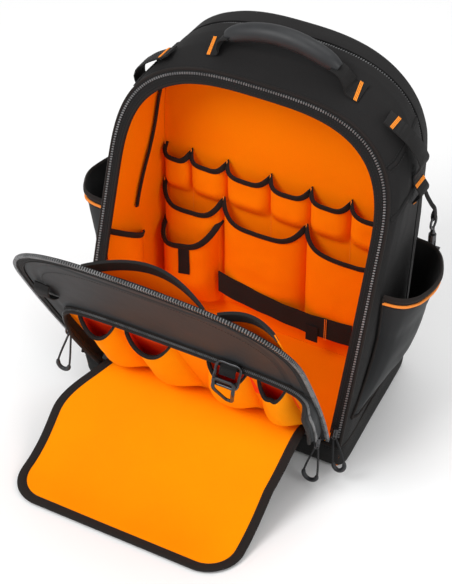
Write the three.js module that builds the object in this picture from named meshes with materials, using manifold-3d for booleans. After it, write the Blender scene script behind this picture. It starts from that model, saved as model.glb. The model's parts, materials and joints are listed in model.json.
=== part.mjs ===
// An open tool backpack in millimetres, +Z up, with its front towards -Y.
// The origin is the middle of its underside.
import * as THREE from 'three';
import { mergeVertices } from 'three/addons/utils/BufferGeometryUtils.js';
import Module from 'manifold-3d';

const wasm = await Module();
wasm.setup();

// Driving dimensions of the body
const bodyWidth = 380;
const bodyHeight = 474;
const bodyDepth = 235;
const frontY = -bodyDepth * 0.5532;
const frontLean = 0.356;
const cornerPower = 3.1;
const sag = 16;
const sideTaper = 0.02;
const shoulderHeight = 0.66;
const baseCorner = 8;
const bootHeight = 45;
const wall = 4;
const floorWall = 5;
const liningWall = 1.4;
const clearance = 0.3;
const flangeWidth = 16;
const zipWall = 2;
const tapeStart = 15;

// Rear compartment
const rearDepth = 30;
const rearZipDepth = 5;
const rearZipInset = 3;
const rearZipWidth = 9;
const dividerWall = 5;

// Door, its zip and its pockets
const doorWidth = bodyWidth - 6;
const doorLength = 364;
const doorCornerPower = 2.8;
const doorWall = 5;
const doorLean = THREE.MathUtils.degToRad(29.4);
const doorShift = 9;
const doorZipWidth = 9;
const doorZipWall = 3;
const doorPocketTop = 348;
const doorPocketFoot = 170;

// Front pocket on the door and its flap
const gussetWidth = 330;
const gussetTop = 204;
const gussetFoot = 44;
const gussetDepth = 20;
const gussetWall = 3;
const gussetShift = 18;
const gussetTuck = 8;
const gussetUpright = 0.55;
const flapWidth = 274;
const flapLength = 221;
const flapWall = 3;
const flapCorner = 46;
const bindingWidth = 12;
const bindingWall = 4;
const flapFlare = 18;
const flapShift = 19;
const flapSkew = -26;

// Pockets of cloth
const pocketWall = 1.6;
const sidePocketWall = 3;
const sidePocketTop = 230;
const sidePocketFoot = 47;
const sidePocketBulge = { left: 60, right: 50 };
const sidePocketFront = bodyDepth * 0.34;
const sidePocketLength = bodyDepth * 0.528;

// Carrying parts
const webbingWidth = 25;
const webbingWall = 2.5;
const gripRadius = 12;
const gripSpan = 146;
const gripRise = 20;
const strapWidth = 68;
const strapWall = 12;
const backPadWall = 14;
const padFoot = 84;

const sheetColour = { black: 0x1d1c1e, coated: 0x2b2e33, orange: 0xff8200, metal: 0x55585c };

// Solids: a closed mesh, and the joins and cuts of two of them
function solidOf(geometry) {
  const bare = geometry.clone();
  bare.deleteAttribute('normal');
  bare.deleteAttribute('uv');
  const merged = mergeVertices(bare, 1e-4);
  const mesh = new wasm.Mesh({
    numProp: 3,
    vertProperties: new Float32Array(merged.attributes.position.array),
    triVerts: new Uint32Array(merged.index.array),
  });
  return new wasm.Manifold(mesh);
}

function geometryOf(solid) {
  const mesh = solid.getMesh();
  const geometry = new THREE.BufferGeometry();
  geometry.setAttribute('position', new THREE.BufferAttribute(new Float32Array(mesh.vertProperties), 3));
  geometry.setIndex(new THREE.BufferAttribute(new Uint32Array(mesh.triVerts), 1));
  return geometry;
}

// The volume inside the triangles, negative where their faces point inwards
function signedVolume(points, triangles) {
  return triangles.reduce((sum, [a, b, c]) => sum + points[a].dot(points[b].clone().cross(points[c])) / 6, 0);
}

function meshFrom(points, faces) {
  const inward = signedVolume(points, faces) < 0;
  const triangles = inward ? faces.map(([a, b, c]) => [a, c, b]) : faces;
  const geometry = new THREE.BufferGeometry();
  geometry.setAttribute('position', new THREE.Float32BufferAttribute(points.flatMap((p) => [p.x, p.y, p.z]), 3));
  geometry.setIndex(triangles.flat());
  return geometry;
}

// A cloth of even thickness: a grid of points, its back one wall behind it, and the rims between
function thickSheet(grid, thickness, closed = false) {
  const rows = grid.length;
  const columns = grid[0].length;
  const last = closed ? rows : rows - 1;
  const at = (i, j) => grid[closed ? (i + rows) % rows : THREE.MathUtils.clamp(i, 0, rows - 1)][
    THREE.MathUtils.clamp(j, 0, columns - 1)];
  const front = [];
  const back = [];
  for (let i = 0; i < rows; i += 1) {
    for (let j = 0; j < columns; j += 1) {
      const along = at(i + 1, j).clone().sub(at(i - 1, j));
      const across = at(i, j + 1).clone().sub(at(i, j - 1));
      const normal = along.cross(across).normalize();
      front.push(at(i, j).clone());
      back.push(at(i, j).clone().addScaledVector(normal, -thickness));
    }
  }
  const index = (i, j, side) => side * rows * columns + (i % rows) * columns + j;
  const triangles = [];
  const quad = (a, b, c, d) => triangles.push([a, b, c], [a, c, d]);
  for (let i = 0; i < last; i += 1) {
    for (let j = 0; j < columns - 1; j += 1) {
      quad(index(i, j, 0), index(i + 1, j, 0), index(i + 1, j + 1, 0), index(i, j + 1, 0));
      quad(index(i, j, 1), index(i, j + 1, 1), index(i + 1, j + 1, 1), index(i + 1, j, 1));
    }
    quad(index(i, 0, 0), index(i, 0, 1), index(i + 1, 0, 1), index(i + 1, 0, 0));
    quad(index(i, columns - 1, 0), index(i + 1, columns - 1, 0),
      index(i + 1, columns - 1, 1), index(i, columns - 1, 1));
  }
  if (!closed) {
    for (let j = 0; j < columns - 1; j += 1) {
      quad(index(0, j, 0), index(0, j + 1, 0), index(0, j + 1, 1), index(0, j, 1));
      quad(index(rows - 1, j, 0), index(rows - 1, j, 1), index(rows - 1, j + 1, 1), index(rows - 1, j + 1, 0));
    }
  }
  return meshFrom([...front, ...back], triangles);
}

// A solid through closed rings of points, with a fan over each end
function loft(rings) {
  const count = rings[0].length;
  const points = rings.flat();
  const triangles = [];
  for (let r = 0; r < rings.length - 1; r += 1) {
    for (let i = 0; i < count; i += 1) {
      const next = (i + 1) % count;
      const [a, b, c, d] = [r * count + i, r * count + next, (r + 1) * count + next, (r + 1) * count + i];
      triangles.push([a, b, c], [a, c, d]);
    }
  }
  for (const end of [0, rings.length - 1]) {
    const middle = new THREE.Vector3();
    rings[end].forEach((p) => middle.add(p));
    points.push(middle.divideScalar(count));
    for (let i = 0; i < count; i += 1) {
      const next = (i + 1) % count;
      const [a, b] = [end * count + i, end * count + next];
      triangles.push(end === 0 ? [points.length - 1, b, a] : [points.length - 1, a, b]);
    }
  }
  return meshFrom(points, triangles);
}

function box(low, high) {
  const geometry = new THREE.BoxGeometry(high[0] - low[0], high[1] - low[1], high[2] - low[2]);
  return geometry.translate((low[0] + high[0]) / 2, (low[1] + high[1]) / 2, (low[2] + high[2]) / 2);
}

const spread = (from, to, count) => Array.from({ length: count + 1 }, (_, i) => from + ((to - from) * i) / count);
const cut = (a, b) => a.subtract(b);
const outward = (solid) => geometryOf(solid);

// An arch: upright sides that narrow towards the foot, and a top of rounded corners
function archPoints({
  width, foot, top, corner, shoulderShare = shoulderHeight, taper = sideTaper, steps = 9, sideSteps = 4,
  power = cornerPower,
}) {
  const half = width / 2;
  const shoulder = foot + (top - foot) * shoulderShare;
  const side = (z) => half * (1 - taper * Math.max(0, (shoulder - z) / (shoulder - foot)) ** 2);
  const right = [[0, foot]];
  const turns = 3;
  const start = side(foot + corner);
  for (let i = 0; i <= turns; i += 1) {
    const angle = (Math.PI / 2) * (i / turns);
    right.push([start - corner + corner * Math.sin(angle), foot + corner - corner * Math.cos(angle)]);
  }
  for (let i = 1; i <= sideSteps; i += 1) {
    const z = foot + corner + ((shoulder - foot - corner) * i) / sideSteps;
    right.push([side(z), z]);
  }
  for (let i = 1; i < steps; i += 1) {
    const angle = (Math.PI / 2) * (i / steps);
    const x = half * Math.cos(angle) ** (2 / power);
    right.push([x, shoulder + (top - shoulder) * Math.sin(angle) ** (2 / power)]);
  }
  const left = right.slice(1).reverse().map(([x, z]) => [-x, z]);
  return [...right, [0, top], ...left];
}

// Body sections from the front face to the back: shares of depth, width, height, roundness and sag
const bodySections = [
  { depth: 0, width: 0.985, height: 0.918, power: 1, lean: 0 },
  { depth: 0.07, width: 0.995, height: 0.938, power: 0.99, lean: 0.5 },
  { depth: 0.22, width: 0.98, height: 0.972, power: 0.94, lean: 1 },
  { depth: 0.42, width: 0.96, height: 0.99, power: 0.9, lean: 1 },
  { depth: 0.72, width: 0.935, height: 0.998, power: 0.87, lean: 0.8 },
  { depth: 0.93, width: 0.915, height: 1, power: 0.86, lean: 0.6 },
  { depth: 1, width: 0.885, height: 0.985, power: 0.84, lean: 0.55 },
];
const rearY = frontY + bodyDepth;
const footTuck = 9;
const frontAt = (z) => (z > bootHeight
  ? frontY + frontLean * (z - bootHeight)
  : frontY + footTuck * (1 - Math.max(0, z) / bootHeight) ** 2);
const depthAt = (share, z) => frontAt(z) + share * (rearY - frontAt(z));

// The section of the body at a share of its depth, between those of the table
function sectionAt(share) {
  const next = Math.max(1, bodySections.findIndex((s) => s.depth >= share));
  const [a, b] = [bodySections[next - 1], bodySections[next]];
  const t = (share - a.depth) / (b.depth - a.depth);
  return {
    width: bodyWidth * THREE.MathUtils.lerp(a.width, b.width, t),
    top: bodyHeight * THREE.MathUtils.lerp(a.height, b.height, t),
    power: cornerPower * THREE.MathUtils.lerp(a.power, b.power, t),
    lean: THREE.MathUtils.lerp(a.lean, b.lean, t),
  };
}

// How far the body sags to the right at a height
const sagAt = (share, z) => sag * sectionAt(share).lean * THREE.MathUtils.clamp(z / bodyHeight, 0, 1) ** 2;

function bodyRing(share, inset, foot) {
  const section = sectionAt(share);
  const outline = archPoints({
    width: section.width - 2 * inset,
    foot,
    top: section.top - inset,
    corner: Math.max(baseCorner - inset, 4),
    power: section.power,
  });
  return outline.map(([x, z]) => new THREE.Vector3(x + sagAt(share, z), depthAt(share, z), z));
}

const far = 2000;
// Everything behind the front face by a gap, as far as the given depth
function behindFront(gap, back) {
  const high = bodyHeight + 2 * wall;
  const low = -bodyHeight * 0.2;
  const rise = spread(low, bootHeight, 6).map((z) => [frontAt(z) + gap, z]);
  const profile = [[back, low], [back, high], [frontAt(high) + gap, high], ...rise.reverse()];
  const shape = new THREE.Shape(profile.map(([y, z]) => new THREE.Vector2(y, z)));
  const prism = new THREE.ExtrudeGeometry(shape, { depth: 2 * far, bevelEnabled: false });
  prism.applyMatrix4(new THREE.Matrix4().set(0, 0, 1, -far, 1, 0, 0, 0, 0, 1, 0, 0, 0, 0, 0, 1));
  return solidOf(prism);
}

const sectionShares = bodySections.map((s) => s.depth);
function bodyForm(inset, foot) {
  const rings = sectionShares.map((share) => bodyRing(share, inset, foot));
  const ahead = rings[0].map((p) => p.clone().setY(frontY - bodyDepth / 2));
  return solidOf(loft([ahead, ...rings])).intersect(behindFront(0, far));
}

// Where the side of the body is at a depth and height, measured outwards from the middle
function sideAt(y, z, side = 1) {
  const share = THREE.MathUtils.clamp((y - frontAt(z)) / (rearY - frontAt(z)), 0, 1);
  const { width, top, power } = sectionAt(share);
  const shoulder = top * shoulderHeight;
  const half = width / 2;
  const off = side * sagAt(share, z);
  if (z > shoulder) {
    const rise = Math.min(1, (z - shoulder) / (top - shoulder));
    return half * (1 - rise ** power) ** (1 / power) + off;
  }
  return half * (1 - sideTaper * ((shoulder - z) / shoulder) ** 2) + off;
}

// The four shells that make the body: boot, main shell, rear shell and lining
const mainBack = rearY - rearDepth - rearZipDepth;
const cavityBack = mainBack - dividerWall;
const slabY = (from, to) => solidOf(box([-far, from, -far], [far, to, far]));
const slabZ = (from, to) => solidOf(box([-far, -far, from], [far, far, to]));

// The opening of the front face, straight through it along Y
function openingPrism(inset) {
  const { width, top } = sectionAt(0);
  const outline = archPoints({
    width: width - 2 * inset,
    foot: bootHeight + clearance - far,
    top: top - inset,
    corner: 10,
    shoulderShare: (far + top * shoulderHeight) / (far + top),
    taper: 0,
  });
  const shape = new THREE.Shape(outline.map(([x, z]) => new THREE.Vector2(x, z)));
  const prism = new THREE.ExtrudeGeometry(shape, { depth: bodyDepth, bevelEnabled: false });
  prism.rotateX(Math.PI / 2).translate(0, cavityBack - clearance, 0);
  return solidOf(prism).intersect(slabZ(bootHeight, far));
}

const outer = bodyForm(0, 0);
const hollow = bodyForm(wall, floorWall);
const cavity = hollow.intersect(behindFront(wall, cavityBack));
const tray = hollow.intersect(slabY(mainBack + rearZipDepth - 1, rearY - wall));

const bootForm = outer.intersect(slabZ(-far, bootHeight));
const baseBoot = cut(cut(bootForm, cavity), tray);
const upper = outer.intersect(slabZ(bootHeight + clearance, far));
const opening = openingPrism(flangeWidth);
const bodyShell = cut(cut(upper.intersect(slabY(-far, mainBack)), cavity), opening);
const rearShell = cut(upper.intersect(slabY(mainBack + rearZipDepth, far)), tray);

const liningOuter = bodyForm(wall + clearance, floorWall + clearance);
const liningInner = bodyForm(wall + clearance + liningWall, floorWall + clearance + liningWall);
const lining = cut(
  liningOuter.intersect(behindFront(wall + clearance, cavityBack - clearance)),
  liningInner.intersect(behindFront(0, cavityBack - clearance - liningWall)),
);
const liningBack = cavityBack - clearance - liningWall;

const rearZipOuter = bodyForm(rearZipInset, rearZipInset);
const rearZipInner = bodyForm(rearZipInset + rearZipWidth, floorWall + rearZipWidth);
const rearZipSlab = slabY(mainBack + clearance, mainBack + rearZipDepth - clearance);
const rearZip = cut(rearZipOuter, rearZipInner).intersect(rearZipSlab)
  .intersect(slabZ(bootHeight + clearance, far));

// Pairs of points of two rims above a height, cut where the outer rim crosses it
function pairsAbove(outerRim, innerRim, low) {
  const pairs = outerRim.map((p, i) => [p, innerRim[i]]);
  const first = pairs.findIndex(([[, z]]) => z > low);
  const last = pairs.findLastIndex(([[, z]]) => z > low);
  const between = (a, b) => {
    const t = (low - a[0][1]) / (b[0][1] - a[0][1]);
    return a.map((p, k) => p.map((c, m) => THREE.MathUtils.lerp(c, b[k][m], t)));
  };
  return [between(pairs[first - 1], pairs[first]), ...pairs.slice(first, last + 1), between(pairs[last + 1], pairs[last])];
}

// The zip tape round the opening lies on the front of the shell
function zipTape() {
  const { width, top } = sectionAt(0);
  const rim = (inset) => archPoints({ width: width - 2 * inset, foot: 0, top: top - inset, corner: 10, steps: 12, sideSteps: 8 });
  const [outerRim, innerRim] = [rim(1), rim(flangeWidth - 1)];
  const grid = pairsAbove(outerRim, innerRim, bootHeight + tapeStart)
    .map((pair) => pair.map(([x, z]) => new THREE.Vector3(x, frontAt(z) - clearance - zipWall, z)));
  return thickSheet(grid, zipWall);
}

// A point of the door: across it, along it from its hinge, and out from its face
const hinge = { y: frontAt(bootHeight), z: bootHeight + clearance };
function onDoor(x, along, out) {
  return new THREE.Vector3(
    x,
    hinge.y - along * Math.sin(doorLean) - out * Math.cos(doorLean),
    hinge.z + along * Math.cos(doorLean) - out * Math.sin(doorLean),
  );
}

const doorRim = (inset, foot = inset) => archPoints({
  width: doorWidth - 2 * inset, foot, top: doorLength - inset, corner: 6, taper: 0.09, steps: 12,
  power: doorCornerPower,
}).map(([x, h]) => [x + doorShift * (h / doorLength), h]);

function doorPlate(inset, low, high) {
  const rim = doorRim(inset).map(([x, h]) => [x, h < tapeStart ? h - inset + clearance : h]);
  return loft([low, high].map((out) => rim.map(([x, h]) => onDoor(x, h, out))));
}

function doorZip() {
  const [outerRim, innerRim] = [doorRim(0), doorRim(doorZipWidth)];
  const grid = pairsAbove(outerRim, innerRim, tapeStart)
    .map((pair) => pair.map(([x, h]) => onDoor(x, h, -1)));
  return thickSheet(grid, doorZipWall);
}

// A sheet that stands off a carrier between its two edges, as a sewn pocket does
function pocketSheet({ across, along, standOff, place, thickness, flip = 1 }) {
  const grid = across.map((a) => along.map((b) => place(a, b, standOff(a, b))));
  return thickSheet(grid, flip * thickness);
}

// Height share of a pocket's rise off its carrier, from its foot to its mouth
const footRise = (share) => Math.min(1, Math.sin(Math.min(1, share * 2.2) * (Math.PI / 2)) + 0.02);

// A row of pockets on the back wall of the cavity, from the dividers that part them
const restBulge = 0.12;
function pocketRow({ dividers, top, foot, dip, bulge, base, flat = 0, rows = 5, steps = 6 }) {
  const across = [];
  for (let k = 0; k < dividers.length - 1; k += 1) {
    spread(dividers[k], dividers[k + 1], steps).forEach((x, i) => {
      if (i > 0 || k === 0) across.push({ x, hang: Math.sin((Math.PI * i) / steps) });
    });
  }
  const place = ({ x, hang }, share, out) => {
    const mouth = top - dip * Math.min(1, 1.2 * hang ** 2);
    return new THREE.Vector3(x, liningBack - base - out, foot + (mouth - foot) * share);
  };
  const standOff = ({ hang }, share) => {
    const rise = share < flat ? restBulge : footRise((share - flat) / (1 - flat));
    return share === 0 ? 0 : bulge * hang ** 0.8 * Math.max(restBulge, rise);
  };
  return pocketSheet({
    across, along: spread(0, 1, rows), standOff, place, thickness: pocketWall, flip: -1,
  });
}

const innerHalf = sideAt(liningBack, bootHeight) - wall - liningWall - 3 * clearance;
const upperDividers = [-0.99, -0.76, -0.45, -0.08, 0.26, 0.59, 0.99].map((s) => s * innerHalf);
const middleDividers = [-0.99, -0.47, 0.24, 0.97].map((s) => s * innerHalf);
const upperTop = 262;
const upperFoot = 150;
const middleTop = 207;
const middleFoot = 34;
const middleBulge = 20;
const middleSteps = 9;
const foldAt = (u) => Math.sin(Math.PI * u) ** 0.8;
const upperBulge = 15;
const middleBase = upperBulge * restBulge + pocketWall;

const pocketsUpper = pocketRow({
  dividers: upperDividers, top: upperTop, foot: upperFoot, dip: 22, bulge: upperBulge, base: clearance, flat: 0.46, rows: 7,
});
const pocketsMiddle = pocketRow({
  dividers: middleDividers, top: middleTop, foot: middleFoot, dip: 27, bulge: middleBulge, base: middleBase, steps: middleSteps,
});

// The goggle pocket hangs before the left middle pocket, sewn down its two edges
const gogglePlate = { top: 172, foot: 40, dip: 48, bulge: 16, inset: 3 };
function goggleSheet() {
  const [from, to] = middleDividers;
  const seam = gogglePlate.inset / (to - from);
  const across = spread(0, 1, middleSteps).map((u, i) => {
    const t = THREE.MathUtils.clamp(u, seam, 1 - seam);
    const edge = i === 0 || i === middleSteps;
    const beneath = edge ? foldAt(1 / middleSteps) * seam * middleSteps : foldAt(u);
    return { x: THREE.MathUtils.lerp(from, to, t), hang: Math.sin(Math.PI * u), beneath };
  });
  return pocketSheet({
    across,
    along: spread(0, 1, 5),
    standOff: ({ hang }, share) => gogglePlate.bulge * hang * footRise(share),
    place: ({ x, hang, beneath }, share, out) => {
      const z = gogglePlate.foot + (gogglePlate.top - gogglePlate.dip * hang - gogglePlate.foot) * share;
      const carrier = middleBase + middleBulge * beneath + pocketWall;
      return new THREE.Vector3(x, liningBack - carrier - 3 * clearance - out, z);
    },
    thickness: pocketWall,
    flip: -1,
  });
}

// The tool strap crosses before the middle pockets
const strapBase = middleBase + middleBulge - pocketWall + 3 * clearance;
const strapBand = { left: -0.46, right: 0.7, leftZ: 84, rightZ: 68, width: 38 };
function toolStrap() {
  const across = spread(strapBand.left * innerHalf, strapBand.right * innerHalf, 8);
  return pocketSheet({
    across,
    along: [-0.5, 0.5],
    standOff: () => 0,
    place: (x, share) => {
      const t = (x / innerHalf - strapBand.left) / (strapBand.right - strapBand.left);
      const z = THREE.MathUtils.lerp(strapBand.leftZ, strapBand.rightZ, t) - 9 * Math.sin(Math.PI * t);
      return new THREE.Vector3(x, liningBack - strapBase - webbingWall, z + share * strapBand.width);
    },
    thickness: webbingWall,
    flip: -1,
  });
}

// Pockets on the two side walls of the cavity
const wallPockets = {
  left: { side: -1, from: 64, to: 138, top: 0.422, fall: 50, foot: 0.1266, bulge: 16 },
  right: { side: 1, from: 92, to: 154, top: 0.477, fall: 12, foot: 0.19, bulge: 20 },
};
function wallPocket({ side, from, to, top, fall, foot, bulge }) {
  const low = foot * bodyHeight;
  const across = spread(frontY + from, frontY + to, 6).map((y, i) => ({ y, hang: Math.sin((Math.PI * i) / 6), t: i / 6 }));
  return pocketSheet({
    across,
    along: spread(0, 1, 4),
    standOff: ({ hang }, share) => bulge * hang * footRise(share),
    place: ({ y, t }, share, out) => {
      const z = low + (top * bodyHeight - fall * t - low) * share;
      const inner = sideAt(y, z, side) - wall - liningWall - 3 * clearance;
      return new THREE.Vector3(side * (inner - out), y, z);
    },
    thickness: pocketWall,
    flip: side,
  });
}

// Large pockets outside, on both sides of the body
function sidePocket(side, bulge) {
  const start = frontY + sidePocketFront;
  const across = spread(0, 1, 12).map((t) => ({ t, swell: Math.sin(Math.PI * t) ** 0.32 }));
  return pocketSheet({
    across,
    along: [0, 0.12, 0.3, 0.52, 0.76, 1],
    standOff: ({ swell }, share) => bulge * swell * THREE.MathUtils.lerp(0.3, 1, share) * footRise(share * 1.4),
    place: ({ t }, share, out) => {
      const foot = sidePocketFoot + (1 - t) * 32;
      const z = foot + (sidePocketTop - 4 * t - foot) * share;
      const spreadOut = 58 * Math.max(0, 1 - share / 0.6) ** 1.5;
      const y = THREE.MathUtils.lerp(start - spreadOut, start + sidePocketLength, t);
      return new THREE.Vector3(side * (sideAt(y, z, side) + 3 * clearance + sidePocketWall + out), y, z);
    },
    thickness: sidePocketWall,
    flip: side,
  });
}

// The wall round the front pocket, open at its foot, with its front edge tucked in
function gusset() {
  const ring = (inset) => archPoints({
    width: gussetWidth - 2 * inset, foot: gussetFoot, top: gussetTop - inset,
    corner: 4, shoulderShare: 0.7, taper: 0.09, power: 3.6,
  }).filter(([, h]) => h > gussetFoot + 3).map(([x, h]) => [x + gussetShift, h]);
  const [base, edge] = [ring(0), ring(gussetTuck)];
  const grid = base.map(([x, h], i) => [
    onDoor(x, h, clearance),
    onDoor(x, h, gussetDepth * gussetUpright),
    onDoor(edge[i][0], edge[i][1], gussetDepth),
  ]);
  return thickSheet(grid, gussetWall);
}

// Tool pockets in the front pocket: edges of the mouth and of the foot, as shares of half its width
const toolPockets = [
  { mouth: [-0.72, -0.42], foot: [-0.75, -0.36] },
  { mouth: [-0.33, 0.04], foot: [-0.34, 0.09] },
  { mouth: [0.34, 0.65], foot: [0.11, 0.56] },
  { mouth: [0.74, 0.96], foot: [0.58, 0.93] },
];
const toolTop = 190;
const toolFoot = 56;
const toolBulge = 20;
const toolDip = 16;
function toolPocket({ mouth, foot }) {
  const half = gussetWidth / 2;
  return pocketSheet({
    across: spread(0, 1, 8).map((t) => ({ t, hang: Math.sin(Math.PI * t) })),
    along: spread(0, 1, 5),
    standOff: ({ hang }, share) => toolBulge * hang ** 0.7 * footRise(share * 1.6),
    place: ({ t, hang }, share, out) => {
      const low = THREE.MathUtils.lerp(foot[0], foot[1], t);
      const high = THREE.MathUtils.lerp(mouth[0], mouth[1], t);
      const x = THREE.MathUtils.lerp(low, high, share) * half;
      const h = toolFoot + (toolTop - toolDip * hang - toolFoot) * share;
      return onDoor(x, h, out + clearance);
    },
    thickness: pocketWall,
    flip: -1,
  });
}

// Pockets on the inner face of the door, gaping at their mouth
function doorPocketSheet() {
  const parts = [[-0.36, 0.48, 26], [0.56, 0.94, 10]];
  const half = doorWidth / 2;
  const across = parts.flatMap(([from, to, bulge], k) => spread(from, to, 7)
    .map((s, i) => ({ x: s * half, out: bulge * Math.sin((Math.PI * i) / 7) }))
    .slice(k === 0 ? 0 : 1));
  return pocketSheet({
    across,
    along: spread(0, 1, 4),
    standOff: ({ out }, share) => out * share ** 0.8,
    place: ({ x }, share, out) => onDoor(
      x,
      doorPocketFoot + (doorPocketTop - doorPocketFoot) * share,
      -doorWall - liningWall - 2 * clearance - out,
    ),
    thickness: pocketWall,
  });
}

// The flap hangs from the foot of the front pocket, rises over its edge and lies out on the ground
const flapHinge = onDoor(0, gussetFoot + 8, clearance);
const flapSlope = [
  { along: 0, out: 0, drop: 0 },
  { along: 0.086, out: 0.086, drop: -0.012 },
  { along: 0.208, out: 0.195, drop: 0.14 },
  { along: 0.402, out: 0.339, drop: 0.465 },
  { along: 0.632, out: 0.525, drop: 0.814 },
  { along: 0.811, out: 0.7, drop: 0.983 },
  { along: 1, out: 0.9, drop: 1 },
];
function onFlap(x, along) {
  const share = along / flapLength;
  const next = Math.max(1, flapSlope.findIndex((s) => s.along >= share - 1e-9));
  const [a, b] = [flapSlope[next - 1], flapSlope[next]];
  const t = (share - a.along) / (b.along - a.along);
  const out = THREE.MathUtils.lerp(a.out, b.out, t) * flapLength;
  const rise = flapHinge.z - bindingWall;
  const drop = THREE.MathUtils.lerp(a.drop, b.drop, t) * rise;
  const skew = flapSkew * THREE.MathUtils.smoothstep(share, 0.06, 0.22);
  return new THREE.Vector3(x + flapShift + skew, flapHinge.y - out, flapHinge.z - drop);
}

// Half the flap's width along its length, and the rows that its rounded corners need
const flapHalf = (share) => flapWidth / 2 + flapFlare * THREE.MathUtils.smoothstep(share, 0.08, 0.3);
function flapRows(inset) {
  const end = flapLength - inset;
  const corner = flapCorner - inset;
  const straight = [0, 0.086, 0.208, 0.402, 0.632, 0.72, 1 - corner / end].map((share) => ({
    along: share < 0.74 ? share * flapLength : end - corner, half: flapHalf(share) - inset,
  }));
  const turn = spread(0, 1, 5).slice(1).map((t) => {
    const angle = (Math.PI / 2) * t;
    const along = end - corner + corner * Math.sin(angle);
    const half = flapHalf((end - corner) / flapLength) - inset - corner + corner * Math.cos(angle);
    return { along, half };
  });
  return [...straight, ...turn];
}

function flapPanel() {
  const grid = flapRows(bindingWidth).map(({ along, half }) => spread(-half, half, 6).map((x) => onFlap(x, along)));
  return thickSheet(grid, flapWall);
}

function flapBinding() {
  const rim = (inset) => {
    const rows = flapRows(inset);
    const right = rows.map(({ along, half }) => [half, along]);
    return [...rows.map(({ along, half }) => [-half, along]), ...right.reverse()];
  };
  const [edge, inside] = [rim(0), rim(bindingWidth - clearance)];
  const grid = edge.map(([x, along], i) => [onFlap(x, along), onFlap(inside[i][0], inside[i][1])]);
  return thickSheet(grid, bindingWall);
}

// A flat band along a path, its width across: one direction, or one for each point
function band(path, across, width, thickness) {
  const grid = path.map((p, i) => [
    p.clone().addScaledVector(across[i] ?? across, -width / 2),
    p.clone().addScaledVector(across[i] ?? across, width / 2),
  ]);
  return thickSheet(grid, thickness);
}

// A round or flattened bar along a smooth path
function bar(points, radius, { sides = 8, steps = 12, flat = 1, closed = false } = {}) {
  const curve = new THREE.CatmullRomCurve3(points, closed);
  const section = new THREE.Shape();
  for (let i = 0; i < sides; i += 1) {
    const angle = (2 * Math.PI * (i + 0.5)) / sides;
    const [x, y] = [radius * flat * Math.cos(angle), radius * Math.sin(angle)];
    if (i === 0) section.moveTo(x, y);
    else section.lineTo(x, y);
  }
  section.closePath();
  return new THREE.ExtrudeGeometry(section, { steps, extrudePath: curve, bevelEnabled: false });
}

// The handle: a moulded grip and two tails of webbing down to the body
const topAt = (share) => sectionAt(share).top;
const handleShare = 0.16;
const handleZ = topAt(handleShare);
const handleY = depthAt(handleShare, handleZ);
const gripCentre = 14;
const gripEndZ = handleZ + gripRadius + 6;
const gripSteps = 6;
function handleGrip() {
  const points = spread(-1, 1, gripSteps).map((t) => new THREE.Vector3(
    gripCentre + (t * gripSpan) / 2, handleY, gripEndZ + gripRise * (1 - t * t),
  ));
  return bar(points, gripRadius, { sides: 10, steps: 14 });
}

const topOver = (x, share) => {
  const { width, top, power } = sectionAt(share);
  const shoulder = top * shoulderHeight;
  const across = Math.abs(x - sagAt(share, top)) / (width / 2);
  return shoulder + (top - shoulder) * (1 - across ** power) ** (1 / power);
};

function handleTail(side) {
  const steep = Math.atan2(gripRise * (1 - (1 - 2 / gripSteps) ** 2), gripSpan / gripSteps);
  const along = new THREE.Vector3(side * Math.cos(steep), 0, -Math.sin(steep));
  const end = new THREE.Vector3(gripCentre + (side * gripSpan) / 2, handleY, gripEndZ);
  const reach = side < 0 ? 12 : 18;
  const onTop = (x, lift) => new THREE.Vector3(x, handleY, topOver(x, handleShare) + webbingWall + lift);
  const path = [
    end.clone().addScaledVector(along, 2 * clearance),
    end.clone().addScaledVector(along, 7),
    onTop(end.x + side * reach * 0.75, 8),
    onTop(end.x + side * reach, 2),
    onTop(end.x + side * (reach + 14), 1),
  ];
  const [front, back] = [0.07, 0.22].map((share) => new THREE.Vector3(0, depthAt(share, topAt(share)), topAt(share)));
  const level = new THREE.Vector3(0, 1, 0);
  const slope = back.sub(front).normalize();
  return band(path, [level, level, slope, slope, slope], webbingWidth, -side * webbingWall);
}

// A webbing ladder down each side of the body, with two open loops
const ladderRows = [
  { height: 0.917, depth: 0.1, lift: 2 },
  { height: 0.9, depth: 0.14, lift: 2.5 },
  { height: 0.87, depth: 0.2, lift: 9 },
  { height: 0.835, depth: 0.27, lift: 12 },
  { height: 0.8, depth: 0.34, lift: 10 },
  { height: 0.765, depth: 0.38, lift: 0 },
  { height: 0.74, depth: 0.41, lift: 0 },
  { height: 0.71, depth: 0.44, lift: 9 },
  { height: 0.68, depth: 0.47, lift: 0 },
];
function ladder(side) {
  const rows = ladderRows.map(({ height, depth, lift }) => {
    const z = height * bodyHeight;
    const y = depthAt(depth, z);
    const x = Math.max(...spread(-0.5, 0.5, 2).map((w) => sideAt(y + w * webbingWidth, z, side)));
    return [-0.5, 0.5].map((w) => new THREE.Vector3(
      side * (x + webbingWall + 2 * clearance + lift), y + w * webbingWidth, z,
    ));
  });
  return thickSheet(rows, side * webbingWall);
}

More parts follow.
